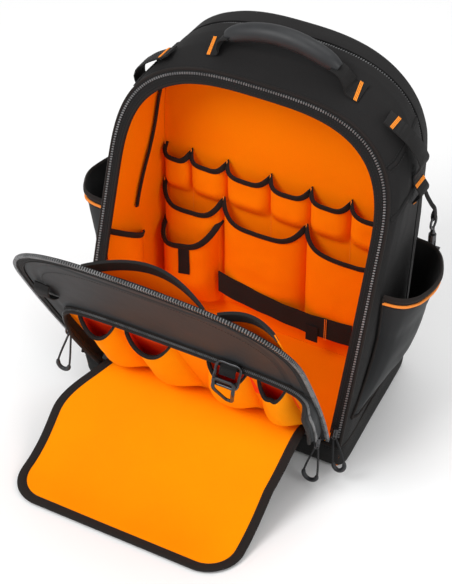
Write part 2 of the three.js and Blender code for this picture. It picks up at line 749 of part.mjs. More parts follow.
// Sliders with a loop of cord and a moulded grip on each
const sliderSize = { x: 9, y: 7, z: 13 };
const cordRadius = 1.3;
const pullWall = 3;
const doorSliderZ = bootHeight + tapeStart + 8;
const doorSliderX = sectionAt(0).width / 2 - 10.15;
const doorSliderY = frontAt(doorSliderZ) - clearance - zipWall - sliderSize.y / 2 - 2.7;
const leftSliderX = gussetShift - gussetWidth / 2 - 4.2;
const rightSliderX = gussetShift + gussetWidth / 2 - 15;
const zipPulls = {
  pocket_left: {
    at: onDoor(leftSliderX, 0.63 * gussetTop, 12), foot: [leftSliderX - 11.8, hinge.y - 74, 92], half: 8,
  },
  pocket_right: {
    at: onDoor(rightSliderX, gussetFoot - 3.7, 13), foot: [rightSliderX - 7, hinge.y - 32, 18], half: 9,
  },
  door_right: {
    at: new THREE.Vector3(doorSliderX, doorSliderY, doorSliderZ),
    foot: [doorSliderX + 13, doorSliderY - 12.7, doorSliderZ - 36],
    half: 8,
  },
};
const sliderAt = ({ at }) => box(
  [at.x - sliderSize.x / 2, at.y - sliderSize.y / 2, at.z - sliderSize.z / 2],
  [at.x + sliderSize.x / 2, at.y + sliderSize.y / 2, at.z + sliderSize.z / 2],
);

// The apex of a pull's cord under its slider, the middle of its grip, and the directions between
function pullLine({ at, foot }) {
  const apex = at.clone().setZ(at.z - sliderSize.z / 2 - cordRadius - clearance);
  const end = new THREE.Vector3(...foot);
  const along = end.clone().sub(apex).normalize();
  const across = along.clone().cross(new THREE.Vector3(0, 1, 0)).normalize();
  return { apex, end, along, across };
}

function pullCord(pull) {
  const { apex, end, across } = pullLine(pull);
  const points = [[-1, 1], [-0.75, 0.5], [-0.4, 0.08], [0, 0], [0.4, 0.08], [0.75, 0.5], [1, 1]].map(([side, t]) => (
    apex.clone().lerp(end, t).addScaledVector(across, side * pull.half)
  ));
  return bar(points, cordRadius, { sides: 8, steps: 24 });
}

function pullGrip(pull) {
  const { end, along, across } = pullLine(pull);
  const points = spread(0, 1, 8).map((t) => end.clone()
    .addScaledVector(across, -pull.half * Math.cos(Math.PI * t))
    .addScaledVector(along, pull.half * Math.sin(Math.PI * t) + 3 * clearance));
  return bar(points, pullWall, { sides: 8, steps: 12 });
}

// Rings on a webbing tab at the front pocket's top
const ringWire = 1.8;
const tabCentre = 90;
const tabRise = 4.1;
const ringRise = tabRise + ringWire + clearance;
// A point over the top of the front pocket: out from the door, and up from the wall
const overGusset = (x, out, up) => {
  const tuck = gussetTuck * Math.max(0, (out / gussetDepth - gussetUpright) / (1 - gussetUpright));
  return onDoor(x, gussetTop - tuck + up, out);
};
function ringTab() {
  const path = [2, 9, 16].map((out) => overGusset(tabCentre, out, tabRise));
  return band(path, new THREE.Vector3(1, 0, 0), webbingWidth - 4, webbingWall);
}

// A wire bent into a closed loop with rounded corners
function wireLoop(corners, wire) {
  const bends = corners.flatMap((corner, i) => {
    const next = corners[(i + 1) % corners.length];
    return [0.14, 0.5, 0.86].map((t) => corner.clone().lerp(next, t));
  });
  const curve = new THREE.CatmullRomCurve3(bends, true);
  const [steps, sides] = [bends.length * 2, 6];
  const { normals, binormals } = curve.computeFrenetFrames(steps, true);
  const points = [];
  const triangles = [];
  for (let i = 0; i < steps; i += 1) {
    for (let k = 0; k < sides; k += 1) {
      const angle = (2 * Math.PI * (k + 0.25)) / sides;
      points.push(curve.getPointAt(i / steps)
        .addScaledVector(normals[i], wire * Math.cos(angle))
        .addScaledVector(binormals[i], wire * Math.sin(angle)));
      const [ahead, next] = [((i + 1) % steps) * sides, (k + 1) % sides];
      const [a, b, c, d] = [i * sides + k, i * sides + next, ahead + next, ahead + k];
      triangles.push([a, b, c], [a, c, d]);
    }
  }
  return meshFrom(points, triangles);
}

function ringD() {
  const half = webbingWidth / 2 + 3;
  const [inner, outside] = [[4, ringRise], [27, ringRise]];
  const corners = [[-half, ...inner], [half, ...inner], [half, ...outside], [-half, ...outside]];
  return wireLoop(corners.map(([x, out, up]) => overGusset(tabCentre + x, out, up)), ringWire);
}

function ringTriangle() {
  const corners = [[-13, 24, 12], [13, 24, 12], [13, 33, 10], [4, 33, -20], [-4, 33, -20], [-13, 33, 10]];
  return wireLoop(corners.map(([x, out, up]) => overGusset(tabCentre + x, out, up)), ringWire);
}

// A bolt snap on a narrow webbing loop behind the right side pocket
const snap = {
  x: bodyWidth / 2 + 5,
  y: rearY - 13,
  top: 256,
  eye: 10,
  eyeWire: 1.6,
  pin: 8,
  pinRadius: 3.2,
  shank: 5,
  length: 28,
  bore: 2.7,
  travel: 8,
  knob: 2,
  bow: 10,
  wire: 2.2,
  webbing: 8,
};
const eyeCentre = snap.top - snap.eye;
const shankTop = eyeCentre - snap.eye - snap.pin;
const shankFoot = shankTop - snap.length;
const boltFoot = shankFoot - 4;
const knobZ = shankFoot + 9;
const upright = (radius, low, high, sides) => {
  const geometry = new THREE.CylinderGeometry(radius, radius, high - low, sides).rotateX(Math.PI / 2);
  return solidOf(geometry.translate(snap.x, snap.y, (low + high) / 2));
};

// The webbing comes off the body, turns round the eye and runs back up behind itself
function snapTab() {
  const turn = snap.eyeWire + 2 * clearance;
  const wireZ = snap.top - snap.eyeWire;
  const outside = spread(0, 1, 3).map((t) => {
    const z = wireZ + 12 + 30 * (1 - t);
    const off = sideAt(snap.y, z) + 3 * clearance;
    return [THREE.MathUtils.lerp(off, snap.x + clearance, t ** 1.5), z];
  });
  const round = spread(0, Math.PI, 4).map((a) => [
    snap.x + turn * Math.cos(a), wireZ - (turn + snap.eyeWire) * Math.sin(a),
  ]);
  const inside = [[snap.x - turn, wireZ + 4], [snap.x - clearance, wireZ + 11]];
  const path = [...outside, ...round, ...inside].map(([x, z]) => new THREE.Vector3(x, snap.y, z));
  return band(path, new THREE.Vector3(0, 1, 0), snap.webbing, -webbingWall * 0.6);
}

function snapEye() {
  const radius = snap.eye - snap.eyeWire;
  const ring = new THREE.TorusGeometry(radius, snap.eyeWire, 6, 20).rotateY(Math.PI / 2);
  return solidOf(ring.translate(snap.x, snap.y, eyeCentre)).add(upright(snap.pinRadius, shankTop + clearance, eyeCentre - radius + snap.eyeWire / 2, 12));
}

// The bow starts on the shank's left and comes round to end under the bolt
const bowPoints = [
  [-0.5, 0.3], [-0.62, -0.2], [-0.9, -0.8], [-0.95, -1.4], [-0.55, -2], [0, -2.2], [0.55, -2.05], [0.9, -1.5],
  [0.8, -0.95], [0.4, -0.68],
];
function snapBody() {
  const bore = upright(snap.bore, shankFoot - 1, shankTop - 2, 10);
  const slotHalf = snap.knob + clearance;
  const slot = box(
    [snap.x, snap.y - slotHalf, knobZ - slotHalf],
    [snap.x + 2 * snap.shank, snap.y + slotHalf, knobZ + snap.travel + slotHalf],
  );
  const bow = bowPoints.map(([x, z]) => new THREE.Vector3(snap.x + x * snap.bow, snap.y, shankFoot + z * snap.bow));
  const shank = cut(cut(upright(snap.shank, shankFoot, shankTop, 12), bore), solidOf(slot));
  return shank.add(solidOf(bar(bow, snap.wire, { sides: 6, steps: 22 })));
}

function snapBolt() {
  const rod = upright(snap.bore - clearance, boltFoot, shankTop - snap.travel - 3, 10);
  const reach = 2 * snap.shank + 1;
  const knob = new THREE.CylinderGeometry(snap.knob, snap.knob, reach, 10).rotateZ(Math.PI / 2);
  return rod.add(solidOf(knob.translate(snap.x + reach / 2, snap.y, knobZ)));
}

// Pad and shoulder straps on the back
function backPad() {
  const rim = (inset) => archPoints({
    width: bodyWidth * 0.8 - 2 * inset, foot: padFoot + inset, top: bodyHeight * 0.88 - inset, corner: 30,
  });
  const faces = [[0, clearance], [0, backPadWall * 0.5], [9, backPadWall]];
  return loft(faces.map(([inset, out]) => rim(inset).map(([x, z]) => new THREE.Vector3(x, rearY + out, z))));
}

const strapRows = [
  { z: 0.85, x: 0.3, out: 0.27 },
  { z: 0.868, x: 0.31, out: 0.55 },
  { z: 0.83, x: 0.33, out: 0.8 },
  { z: 0.73, x: 0.37, out: 1 },
  { z: 0.58, x: 0.44, out: 1.05 },
  { z: 0.42, x: 0.53, out: 0.95 },
  { z: 0.33, x: 0.6, out: 0.85 },
];
const strapStand = 26;
function shoulderStrap(side) {
  const rows = strapRows.map(({ z, x, out }, i) => {
    const narrow = i > 4 ? 1 - 0.13 * (i - 4) : 1;
    return spread(-0.5, 0.5, 4).map((w) => new THREE.Vector3(
      side * ((x * bodyWidth) / 2 + w * strapWidth * narrow),
      rearY + backPadWall + clearance + out * strapStand,
      z * bodyHeight,
    ));
  });
  return thickSheet(rows, side * strapWall);
}

function strapTail(side) {
  const last = strapRows[strapRows.length - 1];
  const y = rearY + backPadWall + clearance + strapWall / 2 + last.out * strapStand;
  const path = [
    new THREE.Vector3(side * last.x * bodyWidth * 0.5, y, last.z * bodyHeight - 1),
    new THREE.Vector3(side * (last.x + 0.08) * bodyWidth * 0.5, y - 6, last.z * bodyHeight - 45),
    new THREE.Vector3(side * (last.x + 0.12) * bodyWidth * 0.5, rearY + backPadWall + 4, padFoot - 6),
    new THREE.Vector3(side * (last.x + 0.14) * bodyWidth * 0.5, rearY + 2 * webbingWall, bootHeight + 20),
    new THREE.Vector3(side * (last.x + 0.14) * bodyWidth * 0.5, rearY + webbingWall + 2 * clearance, bootHeight + 5),
  ];
  return band(path, new THREE.Vector3(1, 0, 0), webbingWidth, -webbingWall);
}

const finishes = {
  black: { color: sheetColour.black, roughness: 0.9, metalness: 0 },
  coated: { color: sheetColour.coated, roughness: 0.6, metalness: 0 },
  orange: { color: sheetColour.orange, roughness: 0.85, metalness: 0 },
  moulded: { color: sheetColour.coated, roughness: 0.5, metalness: 0 },
  metal: { color: sheetColour.metal, roughness: 0.35, metalness: 1 },
};

const backpack = new THREE.Group();
function add(name, finish, geometry) {
  const mesh = new THREE.Mesh(geometry, new THREE.MeshStandardMaterial(finishes[finish]));
  mesh.name = name;
  backpack.add(mesh);
}

add('base_boot', 'black', outward(baseBoot));
add('body_shell', 'coated', outward(bodyShell));
add('rear_shell', 'black', outward(rearShell));
add('lining', 'orange', outward(lining));
add('rear_zip', 'black', outward(rearZip));
add('body_zip', 'black', zipTape());
add('door_panel', 'coated', doorPlate(doorZipWidth + clearance, -doorWall, 0));
add('door_lining', 'orange', doorPlate(doorZipWidth + clearance, -doorWall - liningWall - clearance, -doorWall - clearance));
add('door_zip', 'black', doorZip());
add('door_pockets', 'orange', doorPocketSheet());
add('front_pocket_wall', 'black', gusset());
toolPockets.forEach((row, i) => add(`tool_pocket_${i + 1}`, 'orange', toolPocket(row)));
add('flap', 'orange', flapPanel());
add('flap_binding', 'black', flapBinding());
add('pockets_upper', 'orange', pocketsUpper);
add('pockets_middle', 'orange', pocketsMiddle);
add('goggle_pocket', 'orange', goggleSheet());
add('tool_strap', 'black', toolStrap());
add('wall_pocket_left', 'orange', wallPocket(wallPockets.left));
add('wall_pocket_right', 'orange', wallPocket(wallPockets.right));
for (const [name, side] of [['left', -1], ['right', 1]]) {
  add(`side_pocket_${name}`, 'coated', sidePocket(side, sidePocketBulge[name]));
  add(`side_webbing_${name}`, 'black', ladder(side));
  add(`handle_webbing_${name}`, 'black', handleTail(side));
  add(`shoulder_strap_${name}`, 'black', shoulderStrap(side));
  add(`strap_webbing_${name}`, 'black', strapTail(side));
}
add('handle_grip', 'moulded', handleGrip());
for (const [name, pull] of Object.entries(zipPulls)) {
  add(`slider_${name}`, 'metal', sliderAt(pull));
  add(`pull_cord_${name}`, 'black', pullCord(pull));
  add(`pull_grip_${name}`, 'moulded', pullGrip(pull));
}
add('ring_tab', 'black', ringTab());
add('d_ring', 'metal', ringD());
add('triangle_ring', 'moulded', ringTriangle());
add('snap_tab', 'black', snapTab());
add('snap_eye', 'metal', outward(snapEye()));
add('snap_body', 'metal', outward(snapBody()));
add('snap_bolt', 'metal', outward(snapBolt()));
add('back_pad', 'black', backPad());

export default backpack;
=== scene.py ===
# %% [markdown]
# # An open tool backpack
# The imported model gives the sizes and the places. This lesson dresses it: cloth skins with folds,
# pockets with bound mouths, zips with their teeth, webbing, rings and a padded back.
# Lengths are millimetres while a shape is made, as a bag maker thinks, and `MM` turns them to metres.

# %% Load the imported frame
import json
import math
import bpy
import numpy as np
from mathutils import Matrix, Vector, noise

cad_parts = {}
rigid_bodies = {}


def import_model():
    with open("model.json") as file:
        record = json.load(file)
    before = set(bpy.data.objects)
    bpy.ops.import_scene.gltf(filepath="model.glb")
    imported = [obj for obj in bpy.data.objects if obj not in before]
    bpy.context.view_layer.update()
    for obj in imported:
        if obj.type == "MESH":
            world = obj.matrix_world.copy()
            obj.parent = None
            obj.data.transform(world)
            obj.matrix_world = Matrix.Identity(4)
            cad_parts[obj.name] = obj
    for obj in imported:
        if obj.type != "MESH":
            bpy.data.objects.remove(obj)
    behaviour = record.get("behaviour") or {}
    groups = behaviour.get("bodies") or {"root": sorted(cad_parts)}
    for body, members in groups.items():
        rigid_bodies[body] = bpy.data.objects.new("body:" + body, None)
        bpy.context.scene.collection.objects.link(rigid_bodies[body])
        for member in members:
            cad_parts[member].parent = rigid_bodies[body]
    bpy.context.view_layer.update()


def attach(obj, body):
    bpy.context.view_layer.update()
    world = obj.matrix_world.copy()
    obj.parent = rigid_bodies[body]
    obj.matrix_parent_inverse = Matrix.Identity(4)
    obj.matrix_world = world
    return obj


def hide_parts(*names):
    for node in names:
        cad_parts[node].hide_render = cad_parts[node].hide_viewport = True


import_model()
MM = 0.001

# %% [markdown]
# ## The camera
# A long lens far away keeps the sides nearly parallel, as product photographs do.
# The bag is seen from the front, a little from its right and well from above.
# It could be placed by eye in the viewport. Two angles and a distance are used instead, since they can be read
# and changed.

# %% Camera
AZIMUTH, ELEVATION, DISTANCE = math.radians(28.7), math.radians(39.9), 2.4
TARGET = Vector((-0.0118, -0.060, 0.163))
backwards = Vector((
    math.sin(AZIMUTH) * math.cos(ELEVATION),
    -math.cos(AZIMUTH) * math.cos(ELEVATION),
    math.sin(ELEVATION),
))
lens = bpy.data.cameras.new("camera")
lens.lens, lens.sensor_width = 119.3, 36
camera = bpy.data.objects.new("camera", lens)
bpy.context.scene.collection.objects.link(camera)
camera.location = TARGET + backwards * DISTANCE
camera.rotation_mode = "QUATERNION"
camera.rotation_quaternion = (-backwards).to_track_quat("-Z", "Y")
bpy.context.scene.camera = camera
print("camera at", [round(c, 3) for c in camera.location])

# %% [markdown]
# ## From points to meshes
# Cloth is a grid of points with a wall behind it. One helper turns any grid into a closed sheet
# and writes its arc lengths as a UV map in metres, so that a weave keeps its scale on every piece.
# Another sweeps a section along a path, which gives bindings, cords, wires and webbing.
# A piece may join several such chunks, each with its own finish.

# %% Vectors and paths
def unit(v):
    v = np.asarray(v, float)
    return v / np.maximum(np.linalg.norm(v, axis=-1, keepdims=True), 1e-9)


def lerp(a, b, t):
    return a + (b - a) * t


def ease(t, low=0.0, high=1.0):
    t = np.clip((np.asarray(t, float) - low) / (high - low), 0, 1)
    return t * t * (3 - 2 * t)


def lengths(path):
    steps = np.linalg.norm(np.diff(path, axis=0), axis=1)
    return np.concatenate([[0], np.cumsum(steps)])


def resample(path, pitch=None, count=None):
    """Points along a path at an even pitch, or a given count of them."""
    path = np.asarray(path, float)
    s = lengths(path)
    count = count or max(2, int(round(s[-1] / pitch)) + 1)
    at = np.linspace(0, s[-1], count)
    return np.stack([np.interp(at, s, path[:, k]) for k in range(path.shape[1])], 1)


def smooth_path(points, count=60, closed=False):
    """A Catmull-Rom curve through the points."""
    p = np.asarray(points, float)
    p = np.vstack([p[-1], p, p[0], p[1]]) if closed else np.vstack([2 * p[0] - p[1], p, 2 * p[-1] - p[-2]])
    out = []
    for i in range(1, len(p) - 2):
        t = np.linspace(0, 1, 12, endpoint=False)[:, None]
        a, b, c, d = p[i - 1], p[i], p[i + 1], p[i + 2]
        out.append(
            0.5 * (2 * b + (c - a) * t + (2 * a - 5 * b + 4 * c - d) * t**2 + (3 * b - a - 3 * c + d) * t**3)
        )
    out = np.vstack(out + [p[-2][None]])
    return resample(out, count=count + 1)[:-1] if closed else resample(out, count=count)


def bumps(points, scale, seed=0.0):
    """Smooth noise from -1 to 1 at each point; scale is the size of a fold in millimetres."""
    flat = np.asarray(points, float).reshape(-1, 3) / scale
    value = [noise.noise(Vector((p[0] + seed, p[1] - seed, p[2] + 2 * seed))) for p in flat]
    return np.array(value).reshape(np.shape(points)[:-1])


def tangents(path, closed=False):
    if closed:
        return unit(np.roll(path, -1, 0) - np.roll(path, 1, 0))
    return unit(np.gradient(path, axis=0))


print("path helpers ready")

# %% A sheet of cloth
def grid_normals(grid):
    return unit(np.cross(np.gradient(grid, axis=0), np.gradient(grid, axis=1)))


def sheet(grid, wall, facing=None):
    """A closed cloth from a grid of points: its front, its back one wall behind, and the rims.
    facing is a direction, or one for each point, that the front looks to."""
    grid = np.asarray(grid, float)
    normals = grid_normals(grid)
    if facing is not None and np.sum(normals * np.asarray(facing, float)) < 0:
        grid = grid[:, ::-1]
        normals = -normals[:, ::-1]
    rows, columns = grid.shape[:2]
    size = rows * columns
    verts = np.vstack([grid.reshape(-1, 3), (grid - wall * normals).reshape(-1, 3)])
    v = np.zeros((rows, columns))
    v[1:] = np.cumsum(np.linalg.norm(np.diff(grid, axis=0), axis=2), axis=0)
    u = np.zeros((rows, columns))
    u[:, 1:] = np.cumsum(np.linalg.norm(np.diff(grid, axis=1), axis=2), axis=1)
    u = u - u[:, columns // 2 : columns // 2 + 1]
    uv = np.stack([u, v], 2).reshape(-1, 2)
    i, j = np.meshgrid(np.arange(rows - 1), np.arange(columns - 1), indexing="ij")
    a, b = (i * columns + j).ravel(), ((i + 1) * columns + j).ravel()
    faces = [np.stack([a, b, b + 1, a + 1], 1), np.stack([a, a + 1, b + 1, b], 1) + size]
    r, c = np.arange(rows - 1) * columns, np.arange(columns - 1)
    e, f = r + columns - 1, c + (rows - 1) * columns
    faces.append(np.stack([r, r + size, r + columns + size, r + columns], 1))
    faces.append(np.stack([e, e + columns, e + columns + size, e + size], 1))
    faces.append(np.stack([c, c + 1, c + 1 + size, c + size], 1))
    faces.append(np.stack([f, f + size, f + 1 + size, f + 1], 1))
    return verts, [tuple(q) for q in np.vstack(faces).tolist()], np.vstack([uv, uv]), (rows - 1) * (columns - 1)


print("sheet ready")

# %% A swept section
def tube(path, up, section, closed=False, taper=None):
    """One section along a path. up is one direction, or one for each point; the side is square to it."""
    path, section = np.asarray(path, float), np.asarray(section, float)
    run = tangents(path, closed)
    side = unit(np.cross(run, np.broadcast_to(np.asarray(up, float), path.shape)))
    rise = unit(np.cross(side, run))
    size = np.ones(len(path)) if taper is None else np.asarray(taper, float)
    ring = section[None] * size[:, None, None]
    verts = path[:, None] + ring[:, :, :1] * side[:, None] + ring[:, :, 1:] * rise[:, None]
    count, n = len(path), len(section)
    turn = np.concatenate([[0], np.cumsum(np.linalg.norm(np.diff(section, axis=0), axis=1))])
    uv = np.stack([np.tile(turn, (count, 1)), np.tile(lengths(path)[:, None], (1, n))], 2)
    i, j = np.meshgrid(np.arange(count if closed else count - 1), np.arange(n), indexing="ij")
    k, m = (i + 1) % count, (j + 1) % n
    quads = np.stack([i * n + j, i * n + m, k * n + m, k * n + j], 2).reshape(-1, 4)
    verts = verts.reshape(-1, 3)
    caps = [] if closed else [tuple(range(n))[::-1], tuple(range((count - 1) * n, count * n))]
    corner = verts[quads] - verts.mean(0)
    volume = np.einsum("ij,ij->i", corner[:, 0], np.cross(corner[:, 1], corner[:, 2])).sum()
    faces = [tuple(q) for q in quads.tolist()] + caps
    return verts, [f[::-1] for f in faces] if volume < 0 else faces, uv.reshape(-1, 2), 0


print("swept section ready")

# %% A lofted solid, and two sections
def loft(rings):
    """A solid through closed rings of points, with a flat end at each."""
    rings = np.asarray(rings, float)
    count, n = rings.shape[:2]
    i, j = np.meshgrid(np.arange(count - 1), np.arange(n), indexing="ij")
    m = (j + 1) % n
    quads = np.stack([i * n + j, i * n + m, (i + 1) * n + m, (i + 1) * n + j], 2).reshape(-1, 4)
    verts = np.vstack([rings.reshape(-1, 3), rings[0].mean(0), rings[-1].mean(0)])
    first = [((k + 1) % n, k, count * n) for k in range(n)]
    last = [((count - 1) * n + k, (count - 1) * n + (k + 1) % n, count * n + 1) for k in range(n)]
    corner = verts[quads] - verts.mean(0)
    volume = np.einsum("ij,ij->i", corner[:, 0], np.cross(corner[:, 1], corner[:, 2])).sum()
    faces = [tuple(q) for q in quads.tolist()] + first + last
    round_it = np.concatenate([[0], np.cumsum(np.linalg.norm(np.diff(rings[count // 2], axis=0), axis=1))])
    rise = np.concatenate([[0], np.cumsum(np.linalg.norm(np.diff(rings, axis=0), axis=2).mean(1))])
    uv = np.stack([np.tile(round_it, (count, 1)), np.tile(rise[:, None], (1, n))], 2).reshape(-1, 2)
    return verts, [f[::-1] for f in faces] if volume < 0 else faces, np.vstack([uv, [[0, 0], [0, 0]]]), 0


def round_section(radius, sides=12, flat=1.0):
    angle = 2 * np.pi * (np.arange(sides) + 0.5) / sides
    return np.stack([radius * flat * np.cos(angle), radius * np.sin(angle)], 1)


def flat_section(width, thick, corner=0.4):
    """A flat band with soft edges, centred."""
    w, t, c = width / 2, thick / 2, corner * thick
    return np.array(
        [(-w, -t + c), (-w + c, -t), (w - c, -t), (w, -t + c), (w, t - c), (w - c, t), (-w + c, t), (-w, t - c)]
    )


print("lofted solid ready")

# %% A piece from its chunks
FINISH = {}


def make(name, chunks, nodes=(), body="root", sharp=45):
    """One piece from chunks, each with its finish, or a finish for its front and one for the rest."""
    verts, faces, uv, index, names = [], [], [], [], []
    start = 0
    for (points, quads, places, front), finish in chunks:
        pair = finish if isinstance(finish, tuple) else (finish, finish)
        for each in pair:
            if each not in names:
                names.append(each)
        verts.append(points)
        uv.append(places)
        faces += [tuple(k + start for k in q) for q in quads]
        index += [names.index(pair[0])] * front + [names.index(pair[1])] * (len(quads) - front)
        start += len(points)
    mesh = bpy.data.meshes.new(name)
    mesh.from_pydata((np.vstack(verts) * MM).tolist(), [], faces)
    layer = mesh.uv_layers.new(name="UVMap")
    corner = np.empty(len(mesh.loops), np.int32)
    mesh.loops.foreach_get("vertex_index", corner)
    layer.data.foreach_set("uv", (np.vstack(uv)[corner] * MM).ravel().astype(np.float32))
    mesh.polygons.foreach_set("material_index", np.array(index, np.int32))
    mesh.shade_smooth()
    mesh.set_sharp_from_angle(angle=math.radians(sharp))
    for finish in names:
        mesh.materials.append(FINISH[finish])
    piece = bpy.data.objects.new(name, mesh)
    bpy.context.scene.collection.objects.link(piece)
    print(name, len(faces), "faces")
    return settle(piece, nodes, body)


def settle(piece, nodes=(), body="root"):
    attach(piece, body)
    if nodes:
        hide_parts(*([nodes] if isinstance(nodes, str) else nodes))
    return piece


print("helpers ready")

# %% [markdown]
# ## Finishes
# The outside is a matt black polyester whose threads show only close up, with panels of a smooth coated cloth.
# Inside everything is a bright orange cloth, so that dark tools are easy to see. Bindings and webbing are
# black ribbed tape. Each finish is made of nodes: threads and ribs on the piece's own UV map, and slow colour
# changes, dust and creases on its Object coordinates, so that they stay in place from every side.

# %% Node helpers
def add_node(tree, kind, inputs=None, **settings):
    made = tree.nodes.new(kind)
    for key, value in settings.items():
        setattr(made, key, value)
    for key, value in (inputs or {}).items():
        if isinstance(value, bpy.types.NodeSocket):
            tree.links.new(value, made.inputs[key])
        else:
            made.inputs[key].default_value = value
    return made


def start_finish(name, roughness, **shader):
    material = bpy.data.materials.new(name)
    material.use_nodes = True
    tree = material.node_tree
    surface = tree.nodes["Principled BSDF"]
    surface.inputs["Roughness"].default_value = roughness
    for key, value in shader.items():
        surface.inputs[key.replace("_", " ")].default_value = value
    FINISH[name] = material
    return tree, surface


def math_node(tree, operation, a, b=0.5, clamp=False):
    made = add_node(tree, "ShaderNodeMath", {0: a, 1: b}, operation=operation)
    made.use_clamp = clamp
    return made.outputs[0]


def mix_colour(tree, factor, a, b):
    made = add_node(tree, "ShaderNodeMix", data_type="RGBA")
    for socket, value in ((made.inputs[0], factor), (made.inputs[6], a), (made.inputs[7], b)):
        if isinstance(value, bpy.types.NodeSocket):
            tree.links.new(value, socket)
        else:
            socket.default_value = value
    return made.outputs[2]


def object_noise(tree, scale, detail=3.0, roughness=0.55):
    place = add_node(tree, "ShaderNodeTexCoord").outputs["Object"]
    return add_node(
        tree, "ShaderNodeTexNoise", {"Vector": place, "Scale": scale, "Detail": detail, "Roughness": roughness}
    ).outputs["Fac"]


def threads(tree, pitch):
    """The height of a plain weave: warp and weft waves over and under each other, pitch in metres."""
    place = add_node(tree, "ShaderNodeUVMap", uv_map="UVMap").outputs["UV"]
    parts = add_node(tree, "ShaderNodeSeparateXYZ", {0: place})
    wave = []
    for axis in (0, 1):
        turn = math_node(tree, "MULTIPLY", parts.outputs[axis], math.pi / pitch)
        wave.append(math_node(tree, "ABSOLUTE", math_node(tree, "SINE", turn)))
    return math_node(tree, "MAXIMUM", wave[0], wave[1])


print("node helpers ready")

# %% [markdown]
# A woven cloth needs four things: the base colour, a slow change of tone where the cloth is dusty or
# worn, the fine threads, and small soft creases. The threads are 0.6 mm apart and low, so that they
# read as a matt grain from far off. Sheen gives the pale bloom that polyester shows at a grazing angle.

# %% Woven cloth
def woven(name, colour, tone, pitch=0.0006, roughness=0.85, grain=0.25, crease=0.2, sheen=0.1, gloss=0.3):
    tree, surface = start_finish(name, roughness, Sheen_Weight=sheen, Sheen_Roughness=0.5, Specular_IOR_Level=gloss)
    slow = object_noise(tree, 9.0, 4.0)
    fine = object_noise(tree, 420.0, 2.0)
    patch = math_node(tree, "ADD", math_node(tree, "MULTIPLY", slow, 0.75), math_node(tree, "MULTIPLY", fine, 0.25))
    ramp = add_node(tree, "ShaderNodeMapRange", {"Value": patch, "From Min": 0.3, "From Max": 0.7})
    weave = threads(tree, pitch)
    shade = mix_colour(tree, ramp.outputs[0], colour, tone)
    dark = mix_colour(tree, math_node(tree, "MULTIPLY", weave, 0.35), (*[c * 0.72 for c in colour[:3]], 1), shade)
    full = mix_colour(tree, math_node(tree, "MULTIPLY_ADD", weave, 0.5), dark, shade)
    tree.links.new(full, surface.inputs["Base Color"])
    folds = add_node(
        tree, "ShaderNodeBump",
        {"Strength": crease, "Distance": 0.004, "Height": object_noise(tree, 26.0, 3.0, 0.5)}
    )
    cloth_bump = add_node(
        tree, "ShaderNodeBump",
        {"Strength": grain, "Distance": 0.0003, "Height": weave, "Normal": folds.outputs[0]}
    )
    tree.links.new(cloth_bump.outputs[0], surface.inputs["Normal"])
    rough = math_node(tree, "MULTIPLY_ADD", slow, 0.12)
    tree.nodes[-1].inputs[2].default_value = roughness - 0.06
    tree.links.new(rough, surface.inputs["Roughness"])


woven("black_cloth", (0.0075, 0.0070, 0.0072, 1), (0.0135, 0.0128, 0.0128, 1), sheen=0.02, gloss=0.25)
woven(
    "base_cloth", (0.0050, 0.0046, 0.0045, 1), (0.0100, 0.0092, 0.0088, 1), pitch=0.001, grain=0.4, sheen=0.02,
    gloss=0.25
)
woven("orange_cloth", (1.0, 0.225, 0.0, 1), (1.0, 0.262, 0.0, 1), grain=0.15, crease=0.12, sheen=0.0, gloss=0.06)
woven("orange_flap", (1.0, 0.275, 0.0, 1), (1.0, 0.315, 0.0, 1), grain=0.12, crease=0.1, sheen=0.0, gloss=0.06)
# painted shade: the orange lining coloured deep red where it lies in shade inside the tool pockets
woven("red_cloth", (1.0, 0.060, 0.01, 1), (1.0, 0.085, 0.01, 1), grain=0.12, crease=0.12, sheen=0.0, gloss=0.06)
woven(
    "mesh_cloth", (0.006, 0.006, 0.0065, 1), (0.014, 0.014, 0.0145, 1), pitch=0.0022, grain=0.8, sheen=0.06,
    gloss=0.3
)
print("woven finishes", len(FINISH))

# %% [markdown]
# The coated panels are the same polyester under a thin film of plastic: greyer, smoother, with broad soft
# highlights and a leather-like grain too small to see as more than a satin gloss.

# %% Coated cloth
def coated(name, colour, tone, roughness=0.5):
    tree, surface = start_finish(name, roughness, Sheen_Weight=0.02, Specular_IOR_Level=0.26)
    slow = object_noise(tree, 6.0, 4.0)
    ramp = add_node(tree, "ShaderNodeMapRange", {"Value": slow, "From Min": 0.32, "From Max": 0.7})
    tree.links.new(mix_colour(tree, ramp.outputs[0], colour, tone), surface.inputs["Base Color"])
    place = add_node(tree, "ShaderNodeTexCoord").outputs["Object"]
    pebble = add_node(tree, "ShaderNodeTexVoronoi", {"Vector": place, "Scale": 900.0})
    folds = add_node(
        tree, "ShaderNodeBump", {"Strength": 0.25, "Distance": 0.004, "Height": object_noise(tree, 18.0, 3.0)}
    )
    grain = add_node(
        tree, "ShaderNodeBump",
        {"Strength": 0.12, "Distance": 0.0003, "Height": pebble.outputs["Distance"], "Normal": folds.outputs[0]}
    )
    tree.links.new(grain.outputs[0], surface.inputs["Normal"])
    rough = math_node(tree, "MULTIPLY_ADD", slow, 0.2)
    tree.nodes[-1].inputs[2].default_value = roughness - 0.1
    tree.links.new(rough, surface.inputs["Roughness"])


coated("coated_cloth", (0.0085, 0.0100, 0.0116, 1), (0.0125, 0.0144, 0.0164, 1), 0.62)
coated("coated_side", (0.0095, 0.0104, 0.0114, 1), (0.0145, 0.0156, 0.0168, 1), 0.60)
print("coated finishes ready")

# %% [markdown]
# Webbing and binding tape have ribs along or across them. The ribs follow the tape, so they are read
# from its UV map, where u runs round the section and v along the length.

